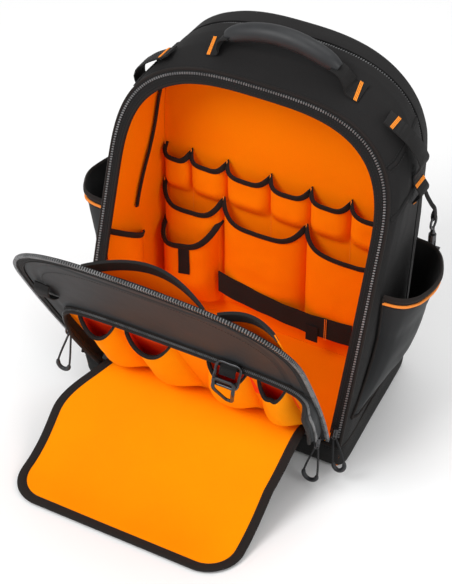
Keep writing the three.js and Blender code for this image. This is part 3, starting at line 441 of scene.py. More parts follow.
# %% Ribbed tape
def ribbed(name, colour, tone, pitch, axis=1, depth=0.6, roughness=0.8, sheen=0.03):
    tree, surface = start_finish(name, roughness, Sheen_Weight=sheen, Sheen_Roughness=0.5, Specular_IOR_Level=0.25)
    place = add_node(tree, "ShaderNodeUVMap", uv_map="UVMap").outputs["UV"]
    parts = add_node(tree, "ShaderNodeSeparateXYZ", {0: place})
    turn = math_node(tree, "MULTIPLY", parts.outputs[axis], 2 * math.pi / pitch)
    rib = math_node(tree, "MULTIPLY_ADD", math_node(tree, "SINE", turn), 0.5)
    tree.nodes[-1].inputs[2].default_value = 0.5
    fuzz = math_node(tree, "MULTIPLY", object_noise(tree, 700.0, 2.0), 0.5)
    tree.links.new(
        mix_colour(tree, math_node(tree, "ADD", math_node(tree, "MULTIPLY", rib, 0.6), fuzz, True), colour, tone),
        surface.inputs["Base Color"]
    )
    bump = add_node(
        tree, "ShaderNodeBump",
        {"Strength": depth, "Distance": 0.0004, "Height": math_node(tree, "ADD", rib, fuzz)}
    )
    tree.links.new(bump.outputs[0], surface.inputs["Normal"])


ribbed("webbing", (0.0045, 0.0042, 0.0042, 1), (0.0115, 0.0108, 0.0106, 1), 0.0016)
ribbed("binding", (0.0062, 0.0045, 0.0040, 1), (0.0165, 0.0120, 0.0102, 1), 0.0011, depth=0.4)
ribbed("piping", (0.80, 0.19, 0.02, 1), (1.0, 0.34, 0.05, 1), 0.0012, roughness=0.6)
ribbed("zip_tape", (0.0050, 0.0050, 0.0052, 1), (0.0105, 0.0105, 0.0108, 1), 0.0008, axis=0, depth=0.4)
ribbed("thread_orange", (0.9, 0.22, 0.01, 1), (1.0, 0.36, 0.04, 1), 0.0006)
ribbed("thread_black", (0.008, 0.008, 0.008, 1), (0.03, 0.03, 0.03, 1), 0.0006)
ribbed("cord_black", (0.012, 0.012, 0.013, 1), (0.035, 0.035, 0.036, 1), 0.0012, depth=0.8)
print("ribbed finishes ready")

# %% [markdown]
# Moulded plastic and painted metal are smooth, with a faint unevenness that breaks up their highlights,
# and a little polish where fingers rub them.

# %% Plastic and metal
def smooth_finish(name, colour, worn, roughness, metallic=0.0, coat=0.0):
    tree, surface = start_finish(name, roughness, Metallic=metallic, Coat_Weight=coat, Coat_Roughness=0.3)
    slow = object_noise(tree, 60.0, 4.0)
    ramp = add_node(tree, "ShaderNodeMapRange", {"Value": slow, "From Min": 0.35, "From Max": 0.75})
    tree.links.new(mix_colour(tree, ramp.outputs[0], colour, worn), surface.inputs["Base Color"])
    bump = add_node(
        tree, "ShaderNodeBump", {"Strength": 0.08, "Distance": 0.0004, "Height": object_noise(tree, 500.0, 2.0)}
    )
    tree.links.new(bump.outputs[0], surface.inputs["Normal"])
    rough = math_node(tree, "MULTIPLY_ADD", slow, 0.25)
    tree.nodes[-1].inputs[2].default_value = roughness - 0.12
    tree.links.new(rough, surface.inputs["Roughness"])


smooth_finish("moulded", (0.0085, 0.0095, 0.0115, 1), (0.0165, 0.0180, 0.0210, 1), 0.40)
smooth_finish("rubber_grip", (0.0085, 0.0094, 0.0110, 1), (0.0140, 0.0152, 0.0172, 1), 0.52)
smooth_finish("dark_metal", (0.05, 0.05, 0.053, 1), (0.11, 0.11, 0.115, 1), 0.34, metallic=0.9)
smooth_finish("zip_teeth", (0.10, 0.10, 0.102, 1), (0.20, 0.20, 0.204, 1), 0.28)
print("all finishes", len(FINISH))

# %% [markdown]
# ## The form of the bag
# A backpack is not a box. Its front is cut lower than its back, its sides bow, its top corners are round,
# and it leans a little to one side when it stands open. The next functions hold that form: the outline
# at any depth, and from it the place of any point of the skin, in millimetres.

# %% Outline of the body
WIDTH, HEIGHT, FRONT, REAR = 380.0, 474.0, -130.0, 105.0
LEAN, POWER, SAG, TAPER, SHOULDER, BOOT, GAP = 0.356, 3.1, 16.0, 0.02, 0.66, 45.0, 0.3
MIDDLE = 180.0
# each row: share of depth, share of width, share of height, share of roundness, share of sag
SECTIONS = np.array([
    (0, 0.985, 0.918, 1, 0), (0.07, 0.995, 0.938, 0.99, 0.5), (0.22, 0.98, 0.972, 0.94, 1),
    (0.42, 0.96, 0.99, 0.9, 1),
    (0.72, 0.935, 0.998, 0.87, 0.8), (0.93, 0.915, 1, 0.86, 0.6), (1, 0.885, 0.985, 0.84, 0.55),
])


def section(share):
    at = [np.interp(share, SECTIONS[:, 0], SECTIONS[:, k]) for k in (1, 2, 3, 4)]
    return at[0] * WIDTH, at[1] * HEIGHT, at[2] * POWER, at[3]


def front_at(z):
    z = np.asarray(z, float)
    return np.where(z > BOOT, FRONT + LEAN * (z - BOOT), FRONT + 9 * (1 - np.clip(z, 0, BOOT) / BOOT) ** 2)


def depth_at(share, z):
    return front_at(z) + share * (REAR - front_at(z))


def share_of(y, z):
    return np.clip((y - front_at(z)) / (REAR - front_at(z)), 0, 1)


def sag_at(share, z):
    return SAG * section(share)[3] * np.clip(np.asarray(z) / HEIGHT, 0, 1) ** 2


def side_at(y, z, side=1):
    """Half the width of the body at a depth and height."""
    share = share_of(y, z)
    width, top, power, _ = section(share)
    half, shoulder = width / 2, top * SHOULDER
    rise = np.clip((z - shoulder) / (top - shoulder), 0, 1)
    above = half * (1 - rise**power) ** (1 / power)
    below = half * (1 - TAPER * (np.maximum(shoulder - z, 0) / shoulder) ** 2)
    return np.where(z > shoulder, above, below) + side * sag_at(share, z)


def top_over(x, share):
    width, top, power, _ = section(share)
    shoulder = top * SHOULDER
    across = np.clip(np.abs(x - sag_at(share, top)) / (width / 2), 0, 1)
    return shoulder + (top - shoulder) * (1 - across**power) ** (1 / power)


print("at its foot the body is", round(2 * float(side_at(0, BOOT)), 1), "wide")

# %% The skin as a grid
def outline(w, width, foot, top, shoulder=SHOULDER, taper=TAPER, power=POWER):
    """A point of an arch: w is -1..0 up the right side, 0..pi over the top, pi..pi+1 down the left side."""
    half, high = width / 2, foot + (top - foot) * shoulder
    q = np.clip(np.where(w < 0, 1 + w, np.where(w > np.pi, 1 - (w - np.pi), 1)), 0, 1)
    angle = np.clip(w, 0, np.pi)
    z = np.where(q < 1, foot + (high - foot) * q, high + (top - high) * np.sin(angle).clip(0) ** (2 / power))
    drop = (high - z) / (high - foot)
    x = np.where(q < 1, half * (1 - taper * np.maximum(drop, 0) ** 2), half * np.abs(np.cos(angle)) ** (2 / power))
    return np.where(w > np.pi / 2, -x, x), z


def even_turns(count, width, foot, top, **form):
    """Values of w that step evenly along an arch."""
    over = np.pi * (0.5 - 0.5 * np.cos(np.linspace(0, np.pi, 3000)))
    w = np.concatenate([np.linspace(-1, 0, 300), over[1:], np.linspace(np.pi, np.pi + 1, 300)[1:]])
    x, z = outline(w, width, foot, top, **form)
    s = np.concatenate([[0], np.cumsum(np.hypot(np.diff(x), np.diff(z)))])
    return np.interp(np.linspace(0, s[-1], count), s, w)


def body_grid(rows, columns, near, far, inset=0.0, low=BOOT + GAP, wrinkle=0.0, seed=0.0):
    """The skin of the body from one depth to another, row by row from front to back.
    near and far give y at a height."""
    w = even_turns(columns, WIDTH * 0.96, low, HEIGHT * 0.97)
    grid = []
    for t in np.linspace(0, 1, rows):
        z = np.full(columns, HEIGHT * 0.6)
        for _ in range(8):
            y = lerp(near(z), far(z), t)
            width, top, power, _ = section(share_of(y, z))
            foot_form = (top - inset) * SHOULDER
            x, z = outline(w, width - 2 * inset, 0.0, top - inset, power=power)
            side = (w < 0) | (w > np.pi)
            q = np.where(w < 0, 1 + w, 1 - (w - np.pi))
            z = np.where(side, low + (foot_form - low) * q, z)
            half = (width / 2 - inset) * (1 - TAPER * (np.maximum(foot_form - z, 0) / foot_form) ** 2)
            x = np.where(side, half * np.sign(x), x)
        y = lerp(near(z), far(z), t)
        grid.append(np.stack([x + sag_at(share_of(y, z), z), y, z], 1))
    grid = np.array(grid)
    if wrinkle:
        normal = grid_normals(grid)
        normal *= np.sign(np.sum(normal * (grid - np.array([0, 0, 200.0])), axis=2, keepdims=True))
        size = 0.6 * bumps(grid, 60, seed) + 0.4 * bumps(grid, 24, seed + 5)
        edge = ease(np.linspace(0, 1, rows), 0, 0.06) * ease(np.linspace(1, 0, rows), 0, 0.06)
        grid = grid + normal * (wrinkle * np.where(size > 0, size, 0.35 * size) * edge[:, None])[..., None]
    return grid


def outward(grid):
    """The way out from the middle of the bag, at each point."""
    return grid - np.array([0, 0, MIDDLE])


print("the body is", WIDTH, "wide and", HEIGHT, "high")

# %% [markdown]
# ## The door
# The front opens as a door: it is hinged at the top of the boot and leans forwards by some 29 degrees.
# Every part of the door is placed by three lengths: across it, along it from its hinge, and out from its face.

# %% Places on the door
DOOR_LEAN = math.radians(29.4)
HINGE_Y, HINGE_Z = FRONT, BOOT + GAP
DOOR_OUT = np.array([0, -math.cos(DOOR_LEAN), -math.sin(DOOR_LEAN)])
DOOR_ALONG = np.array([0, -math.sin(DOOR_LEAN), math.cos(DOOR_LEAN)])


def on_door(x, along, out):
    x, along, out = np.broadcast_arrays(np.asarray(x, float), np.asarray(along, float), np.asarray(out, float))
    y = HINGE_Y - along * math.sin(DOOR_LEAN) - out * math.cos(DOOR_LEAN)
    z = HINGE_Z + along * math.cos(DOOR_LEAN) - out * math.sin(DOOR_LEAN)
    return np.stack([x, y, z], -1)


DOOR_WIDTH, DOOR_LENGTH = 374.0, 364.0
GUSSET_TOP, GUSSET_FOOT, GUSSET_WIDTH, GUSSET_SHIFT = 204.0, 44.0, 330.0, 18.0


def door_rim(inset, count=240, foot=None):
    """The door's outline as x and h, evenly stepped, from the right foot over the top to the left foot."""
    foot = inset if foot is None else foot
    form = dict(taper=0.09, power=2.8)
    w = even_turns(count, DOOR_WIDTH - 2 * inset, foot, DOOR_LENGTH - inset, **form)
    x, h = outline(w, DOOR_WIDTH - 2 * inset, foot, DOOR_LENGTH - inset, **form)
    return x + 9 * (h / DOOR_LENGTH), h


def foot_rise(share):
    """How far a pocket has filled out, from its sewn foot up."""
    return np.minimum(1, np.sin(np.minimum(1, share * 2.2) * (np.pi / 2)) + 0.02)


print("door reaches", on_door(0, DOOR_LENGTH, 0).round(1))

# %% [markdown]
# ## Pull cords
# Each zip slider carries a short loop of round cord with a moulded C-shaped grip, so that a gloved hand can
# open it. The two strands hang from the slider and the grip holds them apart. A loop is a mesh tube
# along a path, and the grip rides on it.

# %% Pull cords and grips
CORD_RADIUS, PULL_RADIUS = 1.3, 2.6
SLIDER = np.array([9.0, 7.0, 13.0])
left_x = GUSSET_SHIFT - GUSSET_WIDTH / 2 - 4.2
right_x = GUSSET_SHIFT + GUSSET_WIDTH / 2 - 15.0
door_z = BOOT + 23
door_x = WIDTH * SECTIONS[0, 1] / 2 - 10.15
door_y = float(front_at(door_z)) - GAP - 2 - 3.5 - 2.7
PULLS = {
    "pocket_left": (on_door(left_x, 0.63 * GUSSET_TOP, 12), (left_x - 11.8, HINGE_Y - 74, 92), 8),
    "pocket_right": (on_door(right_x, GUSSET_FOOT - 3.7, 13), (right_x - 7, HINGE_Y - 32, 18), 9),
    "door_right": (np.array([door_x, door_y, door_z]), (door_x + 13, door_y - 12.7, door_z - 36), 8),
}


def cord_line(at, foot):
    apex = np.array([at[0], at[1], at[2] - SLIDER[2] / 2 - CORD_RADIUS - GAP])
    end = np.array(foot, float)
    along = unit(end - apex)
    return apex, end, along, unit(np.cross(along, (0, 1, 0)))


def pull_cord(name):
    """The cord leaves the slider, runs down, round inside the grip, and up into the slider again."""
    at, foot, half = PULLS[name]
    apex, end, along, across = cord_line(at, foot)
    strand = [(0.22, 0.0), (0.45, 0.25), (0.78, 0.6), (0.98, 0.88), (1, 1)]
    swing = np.linspace(0, np.pi, 13)[1:-1]
    down = [lerp(apex, end, t) - side * half * across for side, t in strand]
    turn = [end - np.cos(a) * half * across + np.sin(a) * half * along for a in swing]
    up = [lerp(apex, end, t) + side * half * across for side, t in strand[::-1]]
    path = smooth_path(down + turn + up, 70)
    cord = make(
        f"cord_{name}", [(tube(path, (0.02, 1, 0.01), round_section(CORD_RADIUS, 10)), "cord_black")],
        f"pull_cord_{name}"
    )
    arc = np.linspace(-0.25, np.pi + 0.25, 30)
    grip_path = end - np.outer(np.cos(arc) * half, across) + np.outer(np.sin(arc) * half, along)
    size = 1 - 0.35 * np.abs(np.linspace(-1, 1, 30)) ** 6
    grip = make(
        f"grip_{name}",
        [(tube(grip_path, (0.02, 1, 0.01), round_section(PULL_RADIUS, 14, 1.15), taper=size), "moulded")],
        f"pull_grip_{name}"
    )


for pull in PULLS:
    pull_cord(pull)

# %% [markdown]
# ## Repeats along a path
# A zip is hundreds of equal teeth, and a seam hundreds of equal stitches. A Geometry Nodes tree puts one small
# rounded block on every point of a path and turns it with the path. The tree's inputs are the block's three
# sizes and how much its ends narrow; its result is turned into a plain mesh.

# %% The repeat tree
def repeat_tree():
    tree = bpy.data.node_groups.new("blocks_on_points", "GeometryNodeTree")
    face = tree.interface
    face.new_socket("Geometry", in_out="INPUT", socket_type="NodeSocketGeometry")
    for label in ("Block length", "Block width", "Block height", "Narrowing"):
        face.new_socket(label, in_out="INPUT", socket_type="NodeSocketFloat")
    face.new_socket("Finish", in_out="INPUT", socket_type="NodeSocketMaterial")
    face.new_socket("Geometry", in_out="OUTPUT", socket_type="NodeSocketGeometry")
    entry, leave = tree.nodes.new("NodeGroupInput"), tree.nodes.new("NodeGroupOutput")
    size = add_node(
        tree, "ShaderNodeCombineXYZ",
        {0: entry.outputs["Block length"], 1: entry.outputs["Block width"], 2: entry.outputs["Block height"]}
    )
    block = add_node(
        tree, "GeometryNodeMeshCube",
        {"Size": size.outputs[0], "Vertices X": 4, "Vertices Y": 2, "Vertices Z": 2}
    )
    here = tree.nodes.new("GeometryNodeInputPosition")
    split = add_node(tree, "ShaderNodeSeparateXYZ", {0: here.outputs[0]})
    reach = math_node(tree, "DIVIDE", split.outputs[0], entry.outputs["Block length"])
    square = math_node(tree, "MULTIPLY", math_node(tree, "MULTIPLY", reach, reach), 4.0)
    keep = math_node(tree, "SUBTRACT", 1.0, math_node(tree, "MULTIPLY", square, entry.outputs["Narrowing"]))
    slim = add_node(
        tree, "ShaderNodeCombineXYZ",
        {
            0: split.outputs[0], 1: math_node(tree, "MULTIPLY", split.outputs[1], keep),
            2: math_node(tree, "MULTIPLY", split.outputs[2], keep)
        }
    )
    shaped = add_node(
        tree, "GeometryNodeSetPosition", {"Geometry": block.outputs["Mesh"], "Position": slim.outputs[0]}
    )
    run = add_node(tree, "GeometryNodeInputNamedAttribute", {"Name": "run"}, data_type="FLOAT_VECTOR")
    rise = add_node(tree, "GeometryNodeInputNamedAttribute", {"Name": "rise"}, data_type="FLOAT_VECTOR")
    first = add_node(tree, "FunctionNodeAlignRotationToVector", {"Vector": run.outputs["Attribute"]}, axis="X")
    second = add_node(
        tree, "FunctionNodeAlignRotationToVector",
        {"Rotation": first.outputs[0], "Vector": rise.outputs["Attribute"]}, axis="Z", pivot_axis="X"
    )
    placed = add_node(
        tree, "GeometryNodeInstanceOnPoints",
        {"Points": entry.outputs["Geometry"], "Instance": shaped.outputs[0], "Rotation": second.outputs[0]}
    )
    real = add_node(tree, "GeometryNodeRealizeInstances", {"Geometry": placed.outputs[0]})
    done = add_node(
        tree, "GeometryNodeSetMaterial", {"Geometry": real.outputs[0], "Material": entry.outputs["Finish"]}
    )
    tree.links.new(done.outputs[0], leave.inputs[0])
    return tree


REPEAT = repeat_tree()


print("the tree has", len(REPEAT.nodes), "nodes")

# %% Blocks along a path
def repeat_along(name, paths, size, finish, narrowing=0.35, turn=0.0, body="root"):
    """Blocks on points. paths holds (points, up) pairs in millimetres; turn swings each block about its up axis."""
    points, runs, rises = [], [], []
    for path, up in paths:
        path = np.asarray(path, float)
        run = tangents(path)
        up = np.broadcast_to(np.asarray(up, float), path.shape)
        rise = unit(up - np.sum(up * run, axis=1, keepdims=True) * run)
        side = np.cross(rise, run)
        points.append(path)
        runs.append(run * math.cos(turn) + side * math.sin(turn))
        rises.append(rise)
    points, runs, rises = np.vstack(points) * MM, np.vstack(runs), np.vstack(rises)
    seeds = bpy.data.meshes.new(f"{name}_points")
    seeds.from_pydata(points.tolist(), [], [])
    for label, value in (("run", runs), ("rise", rises)):
        seeds.attributes.new(label, "FLOAT_VECTOR", "POINT").data.foreach_set(
            "vector", value.ravel().astype(np.float32)
        )
    holder = bpy.data.objects.new(f"{name}_holder", seeds)
    bpy.context.scene.collection.objects.link(holder)
    modifier = holder.modifiers.new("repeat", "NODES")
    modifier.node_group = REPEAT
    sockets = {s.name: s.identifier for s in REPEAT.interface.items_tree if s.in_out == "INPUT"}
    for label, value in zip(
        ("Block length", "Block width", "Block height", "Narrowing"), (*[c * MM for c in size], narrowing)
    ):
        modifier[sockets[label]] = value
    modifier[sockets["Finish"]] = FINISH[finish]
    graph = bpy.context.evaluated_depsgraph_get()
    mesh = bpy.data.meshes.new_from_object(
        holder.evaluated_get(graph), preserve_all_data_layers=False, depsgraph=graph
    )
    bpy.data.objects.remove(holder)
    mesh.name = name
    if not mesh.materials:
        mesh.materials.append(FINISH[finish])
    mesh.shade_smooth()
    mesh.set_sharp_from_angle(angle=math.radians(50))
    piece = bpy.data.objects.new(name, mesh)
    bpy.context.scene.collection.objects.link(piece)
    print(name, len(points), "blocks,", len(mesh.polygons), "faces")
    return settle(piece, (), body)


def stitched(path, up, pitch=3.6, lift=0.25):
    """Points for a seam: every pitch along a path, just over the cloth."""
    path = np.asarray(path, float)
    up = np.broadcast_to(np.asarray(up, float), path.shape)
    s = lengths(path)
    at = np.linspace(0, s[-1], max(2, int(s[-1] / pitch)))
    path = np.stack([np.interp(at, s, path[:, k]) for k in range(3)], 1)
    up = unit(np.stack([np.interp(at, s, up[:, k]) for k in range(3)], 1))
    return path + lift * up, up


TOOTH_PITCH = 3.3
SEAMS_DARK, SEAMS_ORANGE, TACKS = [], [], []
print("a tooth every", TOOTH_PITCH, "mm")

# %% [markdown]
# ## The body
# The main body is one long panel of matt cloth that goes up one side, over the top and down the other.
# At the back it meets the tape of the rear zip. Its front edge turns in to a narrow flange that carries
# the zip of the door. Stitched seams part the upper panel from the sides.

# %% Main skin and flange
MAIN_BACK, SKIN_WALL = 70.0, 2.2
skin = body_grid(34, 220, lambda z: front_at(z), lambda z: MAIN_BACK + 0 * z, wrinkle=1.9, seed=3.0)
front_width, front_top, front_power, _ = section(0.0)


def front_rim(inset, count=260, low=BOOT + GAP):
    w = even_turns(count, front_width - 2 * inset, 0.0, front_top - inset, power=front_power)
    x, z = outline(w, front_width - 2 * inset, 0.0, front_top - inset, power=front_power)
    side = (w < 0) | (w > np.pi)
    shoulder = (front_top - inset) * SHOULDER
    q = np.where(w < 0, 1 + w, 1 - (w - np.pi))
    z = np.where(side, low + (shoulder - low) * q, z)
    half = (front_width / 2 - inset) * (1 - TAPER * (np.maximum(shoulder - z, 0) / shoulder) ** 2)
    return np.where(side, half * np.sign(x), x), z


def on_front(rim, out):
    x, z = rim
    return np.stack([x, front_at(z) - out, z], 1)


flange = np.array([on_front(front_rim(inset), 0) for inset in (0.2, 4, 8, 12, 16)])
edge = on_front(front_rim(1.2), 0.2)
make("body_skin", [
    (sheet(skin, SKIN_WALL, outward(skin)), "black_cloth"),
    (sheet(flange, 3.2, (0, -1, 0)), "black_cloth"),
    (tube(edge, edge - (0, 0, 200), round_section(2.3, 10)), "binding"),
], "body_shell")

# %% [markdown]
# The top panel is a separate piece of cloth: a seam runs from the front edge backwards on each side of the
# handle, down the shoulder of the bag. Such a seam is a raised fold with a row of stitches beside it.
# It could be drawn in the material, but from the side a seam breaks the outline, so it is a thin tube.

# %% Seams of the top
def along_body(columns_share, t_from=0.02, t_to=0.98, lift=0.8):
    column = int(columns_share * (skin.shape[1] - 1))
    rows = np.linspace(t_from, t_to, 40) * (skin.shape[0] - 1)
    low = np.floor(rows).astype(int).clip(0, skin.shape[0] - 2)
    t = (rows - low)[:, None]
    path = skin[low, column] * (1 - t) + skin[low + 1, column] * t
    up = unit(path - np.array([0, 0, 180.0]) * [0, 1, 1] - path * [0, 1, 0])
    return path + lift * up, up


seams = []
for share in (0.285, 0.335, 0.665, 0.715):
    path, up = along_body(share)
    seams.append((tube(path, up, flat_section(4.5, 2.2, 0.45)), "black_cloth"))
    for shift in (-4, 4):
        side = unit(np.cross(tangents(path), up)) * shift
        SEAMS_DARK.append(stitched(path + side, up))
make("body_seams", seams, ())

# %% [markdown]
# ## Rear compartment
# Behind the main body a second zip runs all round a shallow rear compartment. Its shell is the same cloth,
# closed by a flat back panel that carries the padding.
# It uses the same grid as the main skin, further back, so that both follow one outline.

# %% Rear shell
rear = body_grid(9, 190, lambda z: 75.2 + 0 * z, lambda z: REAR - 5 + 0 * z, wrinkle=1.2, seed=8.0)
rear_edge = body_grid(2, 190, lambda z: REAR - 4.9 + 0 * z, lambda z: REAR - 0.2 + 0 * z, inset=2.2)[1]
corner_rows = [rear[-1], lerp(rear[-1], rear_edge, 0.5) + unit(rear[-1] - [0, 100, 200]) * 0.8, rear_edge]
rear_skin = np.vstack([rear, np.array(corner_rows[1:])])


def plate(ring, rows=24):
    """The area inside an arch of points, as rows from its right side to its left."""
    half = len(ring) // 2
    t = np.linspace(0, 1, rows)[None, :, None]
    return ring[:half, None] * (1 - t) + ring[::-1][:half, None] * t


back_face = plate(rear_edge)
back_face[..., 1] -= 0.4 * (1 + bumps(back_face, 50, 2.0))
make("rear_skin", [
    (sheet(rear_skin, 3.4, outward(rear_skin)), "black_cloth"),
    (sheet(back_face, 3.0, (0, 1, 0)), "black_cloth"),
    (tube(rear_edge, (0, 1, 0), round_section(2.0, 10)), "binding"),
], "rear_shell")

# %% Rear zip: tape, and a closed row of teeth
zip_rows = body_grid(3, 190, lambda z: 69.6 + 0 * z, lambda z: 75.6 + 0 * z, inset=2.6)
make("rear_tape", [(sheet(zip_rows, 2.0, outward(zip_rows)), "zip_tape")], "rear_zip")
middle = body_grid(3, 600, lambda z: 69.6 + 0 * z, lambda z: 75.6 + 0 * z, inset=1.9)[1]
path = resample(middle, TOOTH_PITCH)
repeat_along("rear_teeth", [(path, outward(path))], (1.7, 5.0, 1.8), "zip_teeth", narrowing=0.3)

# %% [markdown]
# ## The boot
# The foot of the bag is a box of heavier, coarser cloth that stands wear and wet. Its lower edge is rounded,
# its front is tucked under, and a seam joins it to the body.
# A bevelled box would do for a straight bag. This one follows the outline at every height, so it is lofted
# through rings.

# %% Boot
def plan(z, inset=0.0, count=420):
    """The outline of the boot at a height, seen from above, with its four corners rounded."""
    share = np.linspace(0, 1, 30)
    y = depth_at(share, z)
    right = np.stack([side_at(y, z, 1) - inset, y], 1)
    left = np.stack([-side_at(y, z, -1) + inset, y], 1)[::-1]
    right[0, 1], left[-1, 1] = right[0, 1] + inset, left[-1, 1] + inset
    right[-1, 1], left[0, 1] = right[-1, 1] - inset, left[0, 1] - inset
    ring = np.vstack([right, left, right[:1]])
    ring = resample(ring, count=count + 1)[:-1]
    reach = 7
    kernel = np.hanning(2 * reach + 3)[1:-1]
    kernel /= kernel.sum()
    wide = np.vstack([ring[-reach:], ring, ring[:reach]])
    ring = np.stack([np.convolve(wide[:, k], kernel, "valid") for k in (0, 1)], 1)
    return np.column_stack([ring, np.full(len(ring), float(z))])


rings = [plan(0.0, 8)] + [plan(8 - 8 * math.sin(a), 8 - 8 * math.cos(a)) for a in np.linspace(1.2, 0, 5)]
rings += [plan(z, 0.25 * math.sin(z / 3)) for z in (14, 20, 27, 34, 40, 44)]
rings += [plan(44.6, 1.0), plan(44.6, 3.5), plan(30, 4), plan(10, 4), plan(5.0, 6)]
rings = np.array(rings)
rings[0, :, 2] = 0.0
outer_side = plan(44.2, -0.6)
make("boot", [
    (loft(rings), "base_cloth"),
    (tube(outer_side, (0, 0, 1), round_section(1.5, 8), closed=True), "binding"),
], "base_boot")
for z in (40.5, 37.5):
    ring = plan(z, -0.2)
    SEAMS_DARK.append(stitched(ring, unit(ring - [0, 0, z])))

# %% [markdown]
# ## Lining
# The inside is orange from edge to edge: two sides with the top, the back wall and the floor. The lining
# is a loose bag, held only at its rims, so it has soft hollows.
# A solid could be cut hollow. Four thin sheets are simpler, and each keeps an even weave.

# %% Lining
LINING_WALL, FLOOR_LEVEL = 1.2, 6.9
inside = body_grid(
    20, 150, lambda z: front_at(z) + 3.6, lambda z: 64.5 + 0 * z, inset=4.6, low=FLOOR_LEVEL, wrinkle=1.4, seed=12.0
)
wall_ring = body_grid(2, 150, lambda z: 63.3 + 0 * z, lambda z: 63.4 + 0 * z, inset=5.2, low=FLOOR_LEVEL)[0]
back_wall = plate(wall_ring, 60)
back_wall[..., 1] = 63.4 - 0.5 * (1 + bumps(back_wall, 70, 4.0)) * ease(back_wall[..., 2], 262, 300)
floor_rows = []
for y in np.linspace(-122, 63.4, 20):
    half_right, half_left = float(side_at(y, 9.0, 1)) - 5.4, float(side_at(y, 9.0, -1)) - 5.4
    floor_rows.append([(x, y, FLOOR_LEVEL) for x in np.linspace(half_right, -half_left, 30)])
floor = np.array(floor_rows)
floor[..., 2] += 0.5 * bumps(floor, 60, 6.0)
lip = np.array(
    [[(x, float(front_at(z)) + 4.4, z) for x in np.linspace(178, -178, 30)] for z in np.linspace(7, BOOT + 2, 6)]
)
make("lining_bag", [
    (sheet(inside, LINING_WALL, -outward(inside)), "orange_cloth"),
    (sheet(back_wall, LINING_WALL, (0, -1, 0)), "orange_cloth"),
    (sheet(floor, LINING_WALL, (0, 0, 1)), "orange_cloth"),
    (sheet(lip, LINING_WALL, (0, 1, 0)), "orange_cloth"),
], "lining")
print("lining made")

# %% [markdown]
# ## The door's zip on the body
# The tape lies on the flange, and the teeth are on its inner edge, bared because the zip is open.
# Tape and teeth both follow the rim of the front, which is worked out from the outline.

# %% Body zip
TAPE_WALL = 1.9


def tape(rims, place, low, wall, facing):
    rows = []
    for x, h in rims:
        keep = h >= low
        rows.append(resample(place(x[keep], h[keep]), count=260))
    return sheet(np.array(rows), wall, facing)


def front_place(x, z):
    return np.stack([x, front_at(z) - GAP - TAPE_WALL, z], 1)


tape_chunk = tape([front_rim(i) for i in (1.5, 5, 9, 14)], front_place, 60, 1.8, (0, -1, 0))
x, z = front_rim(4.6, 900)
keep = z > 60
teeth_path = resample(np.stack([x, front_at(z) - 2.7, z], 1)[keep], TOOTH_PITCH)
x, z = front_rim(15.2, 400)
cord_path = resample(np.stack([x, front_at(z) - 0.9, z], 1)[z > 60], 4.0)
make(
    "body_zip_tape",
    [(tape_chunk, "zip_tape"), (tube(cord_path, (0, -1, 0), round_section(2.0, 10)), "binding")], "body_zip",
)
repeat_along(
    "body_teeth", [(teeth_path, (0, -1, 0.1))], (1.7, 3.2, 2.2), "zip_teeth", narrowing=0.4,
    turn=0.12
)
for inset in (8.2, 12.0):
    x, z = front_rim(inset, 500)
    keep = z > 62
    SEAMS_DARK.append(stitched(np.stack([x, front_at(z) - 2.3, z], 1)[keep], (0, -1, 0)))

# %% [markdown]
# ## The door
# The door is a stiff flat panel in coated cloth. A sewn channel runs parallel to its rim, and inside it the
# panel swells a little. Its inner face is orange like the lining.
# Its face is one grid whose height is worked out from the distance to its rim, which draws the channel and the
# swell without any sculpting.

# %% Door panel
def door_face(inset, level, relief=None, rows=90):
    x, h = door_rim(inset, 200, foot=0.4)
    half = len(x) // 2
    t = np.linspace(0, 1, rows)[None]
    gx = x[:half, None] * (1 - t) + x[::-1][:half, None] * t
    gh = h[:half, None] * (1 - t) + h[::-1][:half, None] * t
    out = np.full(gx.shape, float(level))
    if relief is not None:
        side = np.minimum(np.abs(gx - x[:half, None]), np.abs(gx - x[::-1][:half, None]))
        out = out + relief(np.minimum(side, DOOR_LENGTH - inset - gh), gx, gh)
    return on_door(gx, gh, out)


def door_relief(edge, x, h):
    channel = -1.3 * np.exp(-(((edge - 20) / 2.6) ** 2))
    rolled = -2.0 * ease(4 - edge, 0, 4)
    swell = 1.0 * ease(edge, 24, 90)
    soft = 0.8 * bumps(np.stack([x, h, 0 * x], -1), 75, 21.0) * ease(edge, 6, 40)
    return channel + rolled + swell * ease(h, 210, 260) + soft * ease(h, 205, 240)


face = door_face(9.0, -0.2, door_relief)
make("door_face", [(sheet(face, 4.2, DOOR_OUT), "coated_cloth")], "door_panel")
inner = door_face(9.0, -5.4)
make("door_inner", [(sheet(inner, 1.2, -DOOR_OUT), "orange_cloth")], "door_lining")
x, h = door_rim(33, 420)
keep = h > 210
SEAMS_DARK.append(stitched(on_door(x[keep], h[keep], 0.6), DOOR_OUT))

# %% [markdown]
# The door's half of the zip: tape round the rim, stitched down, with bare teeth along the very edge.
# They stand up like a rope of dark beads, which is what the eye catches first on the open door.

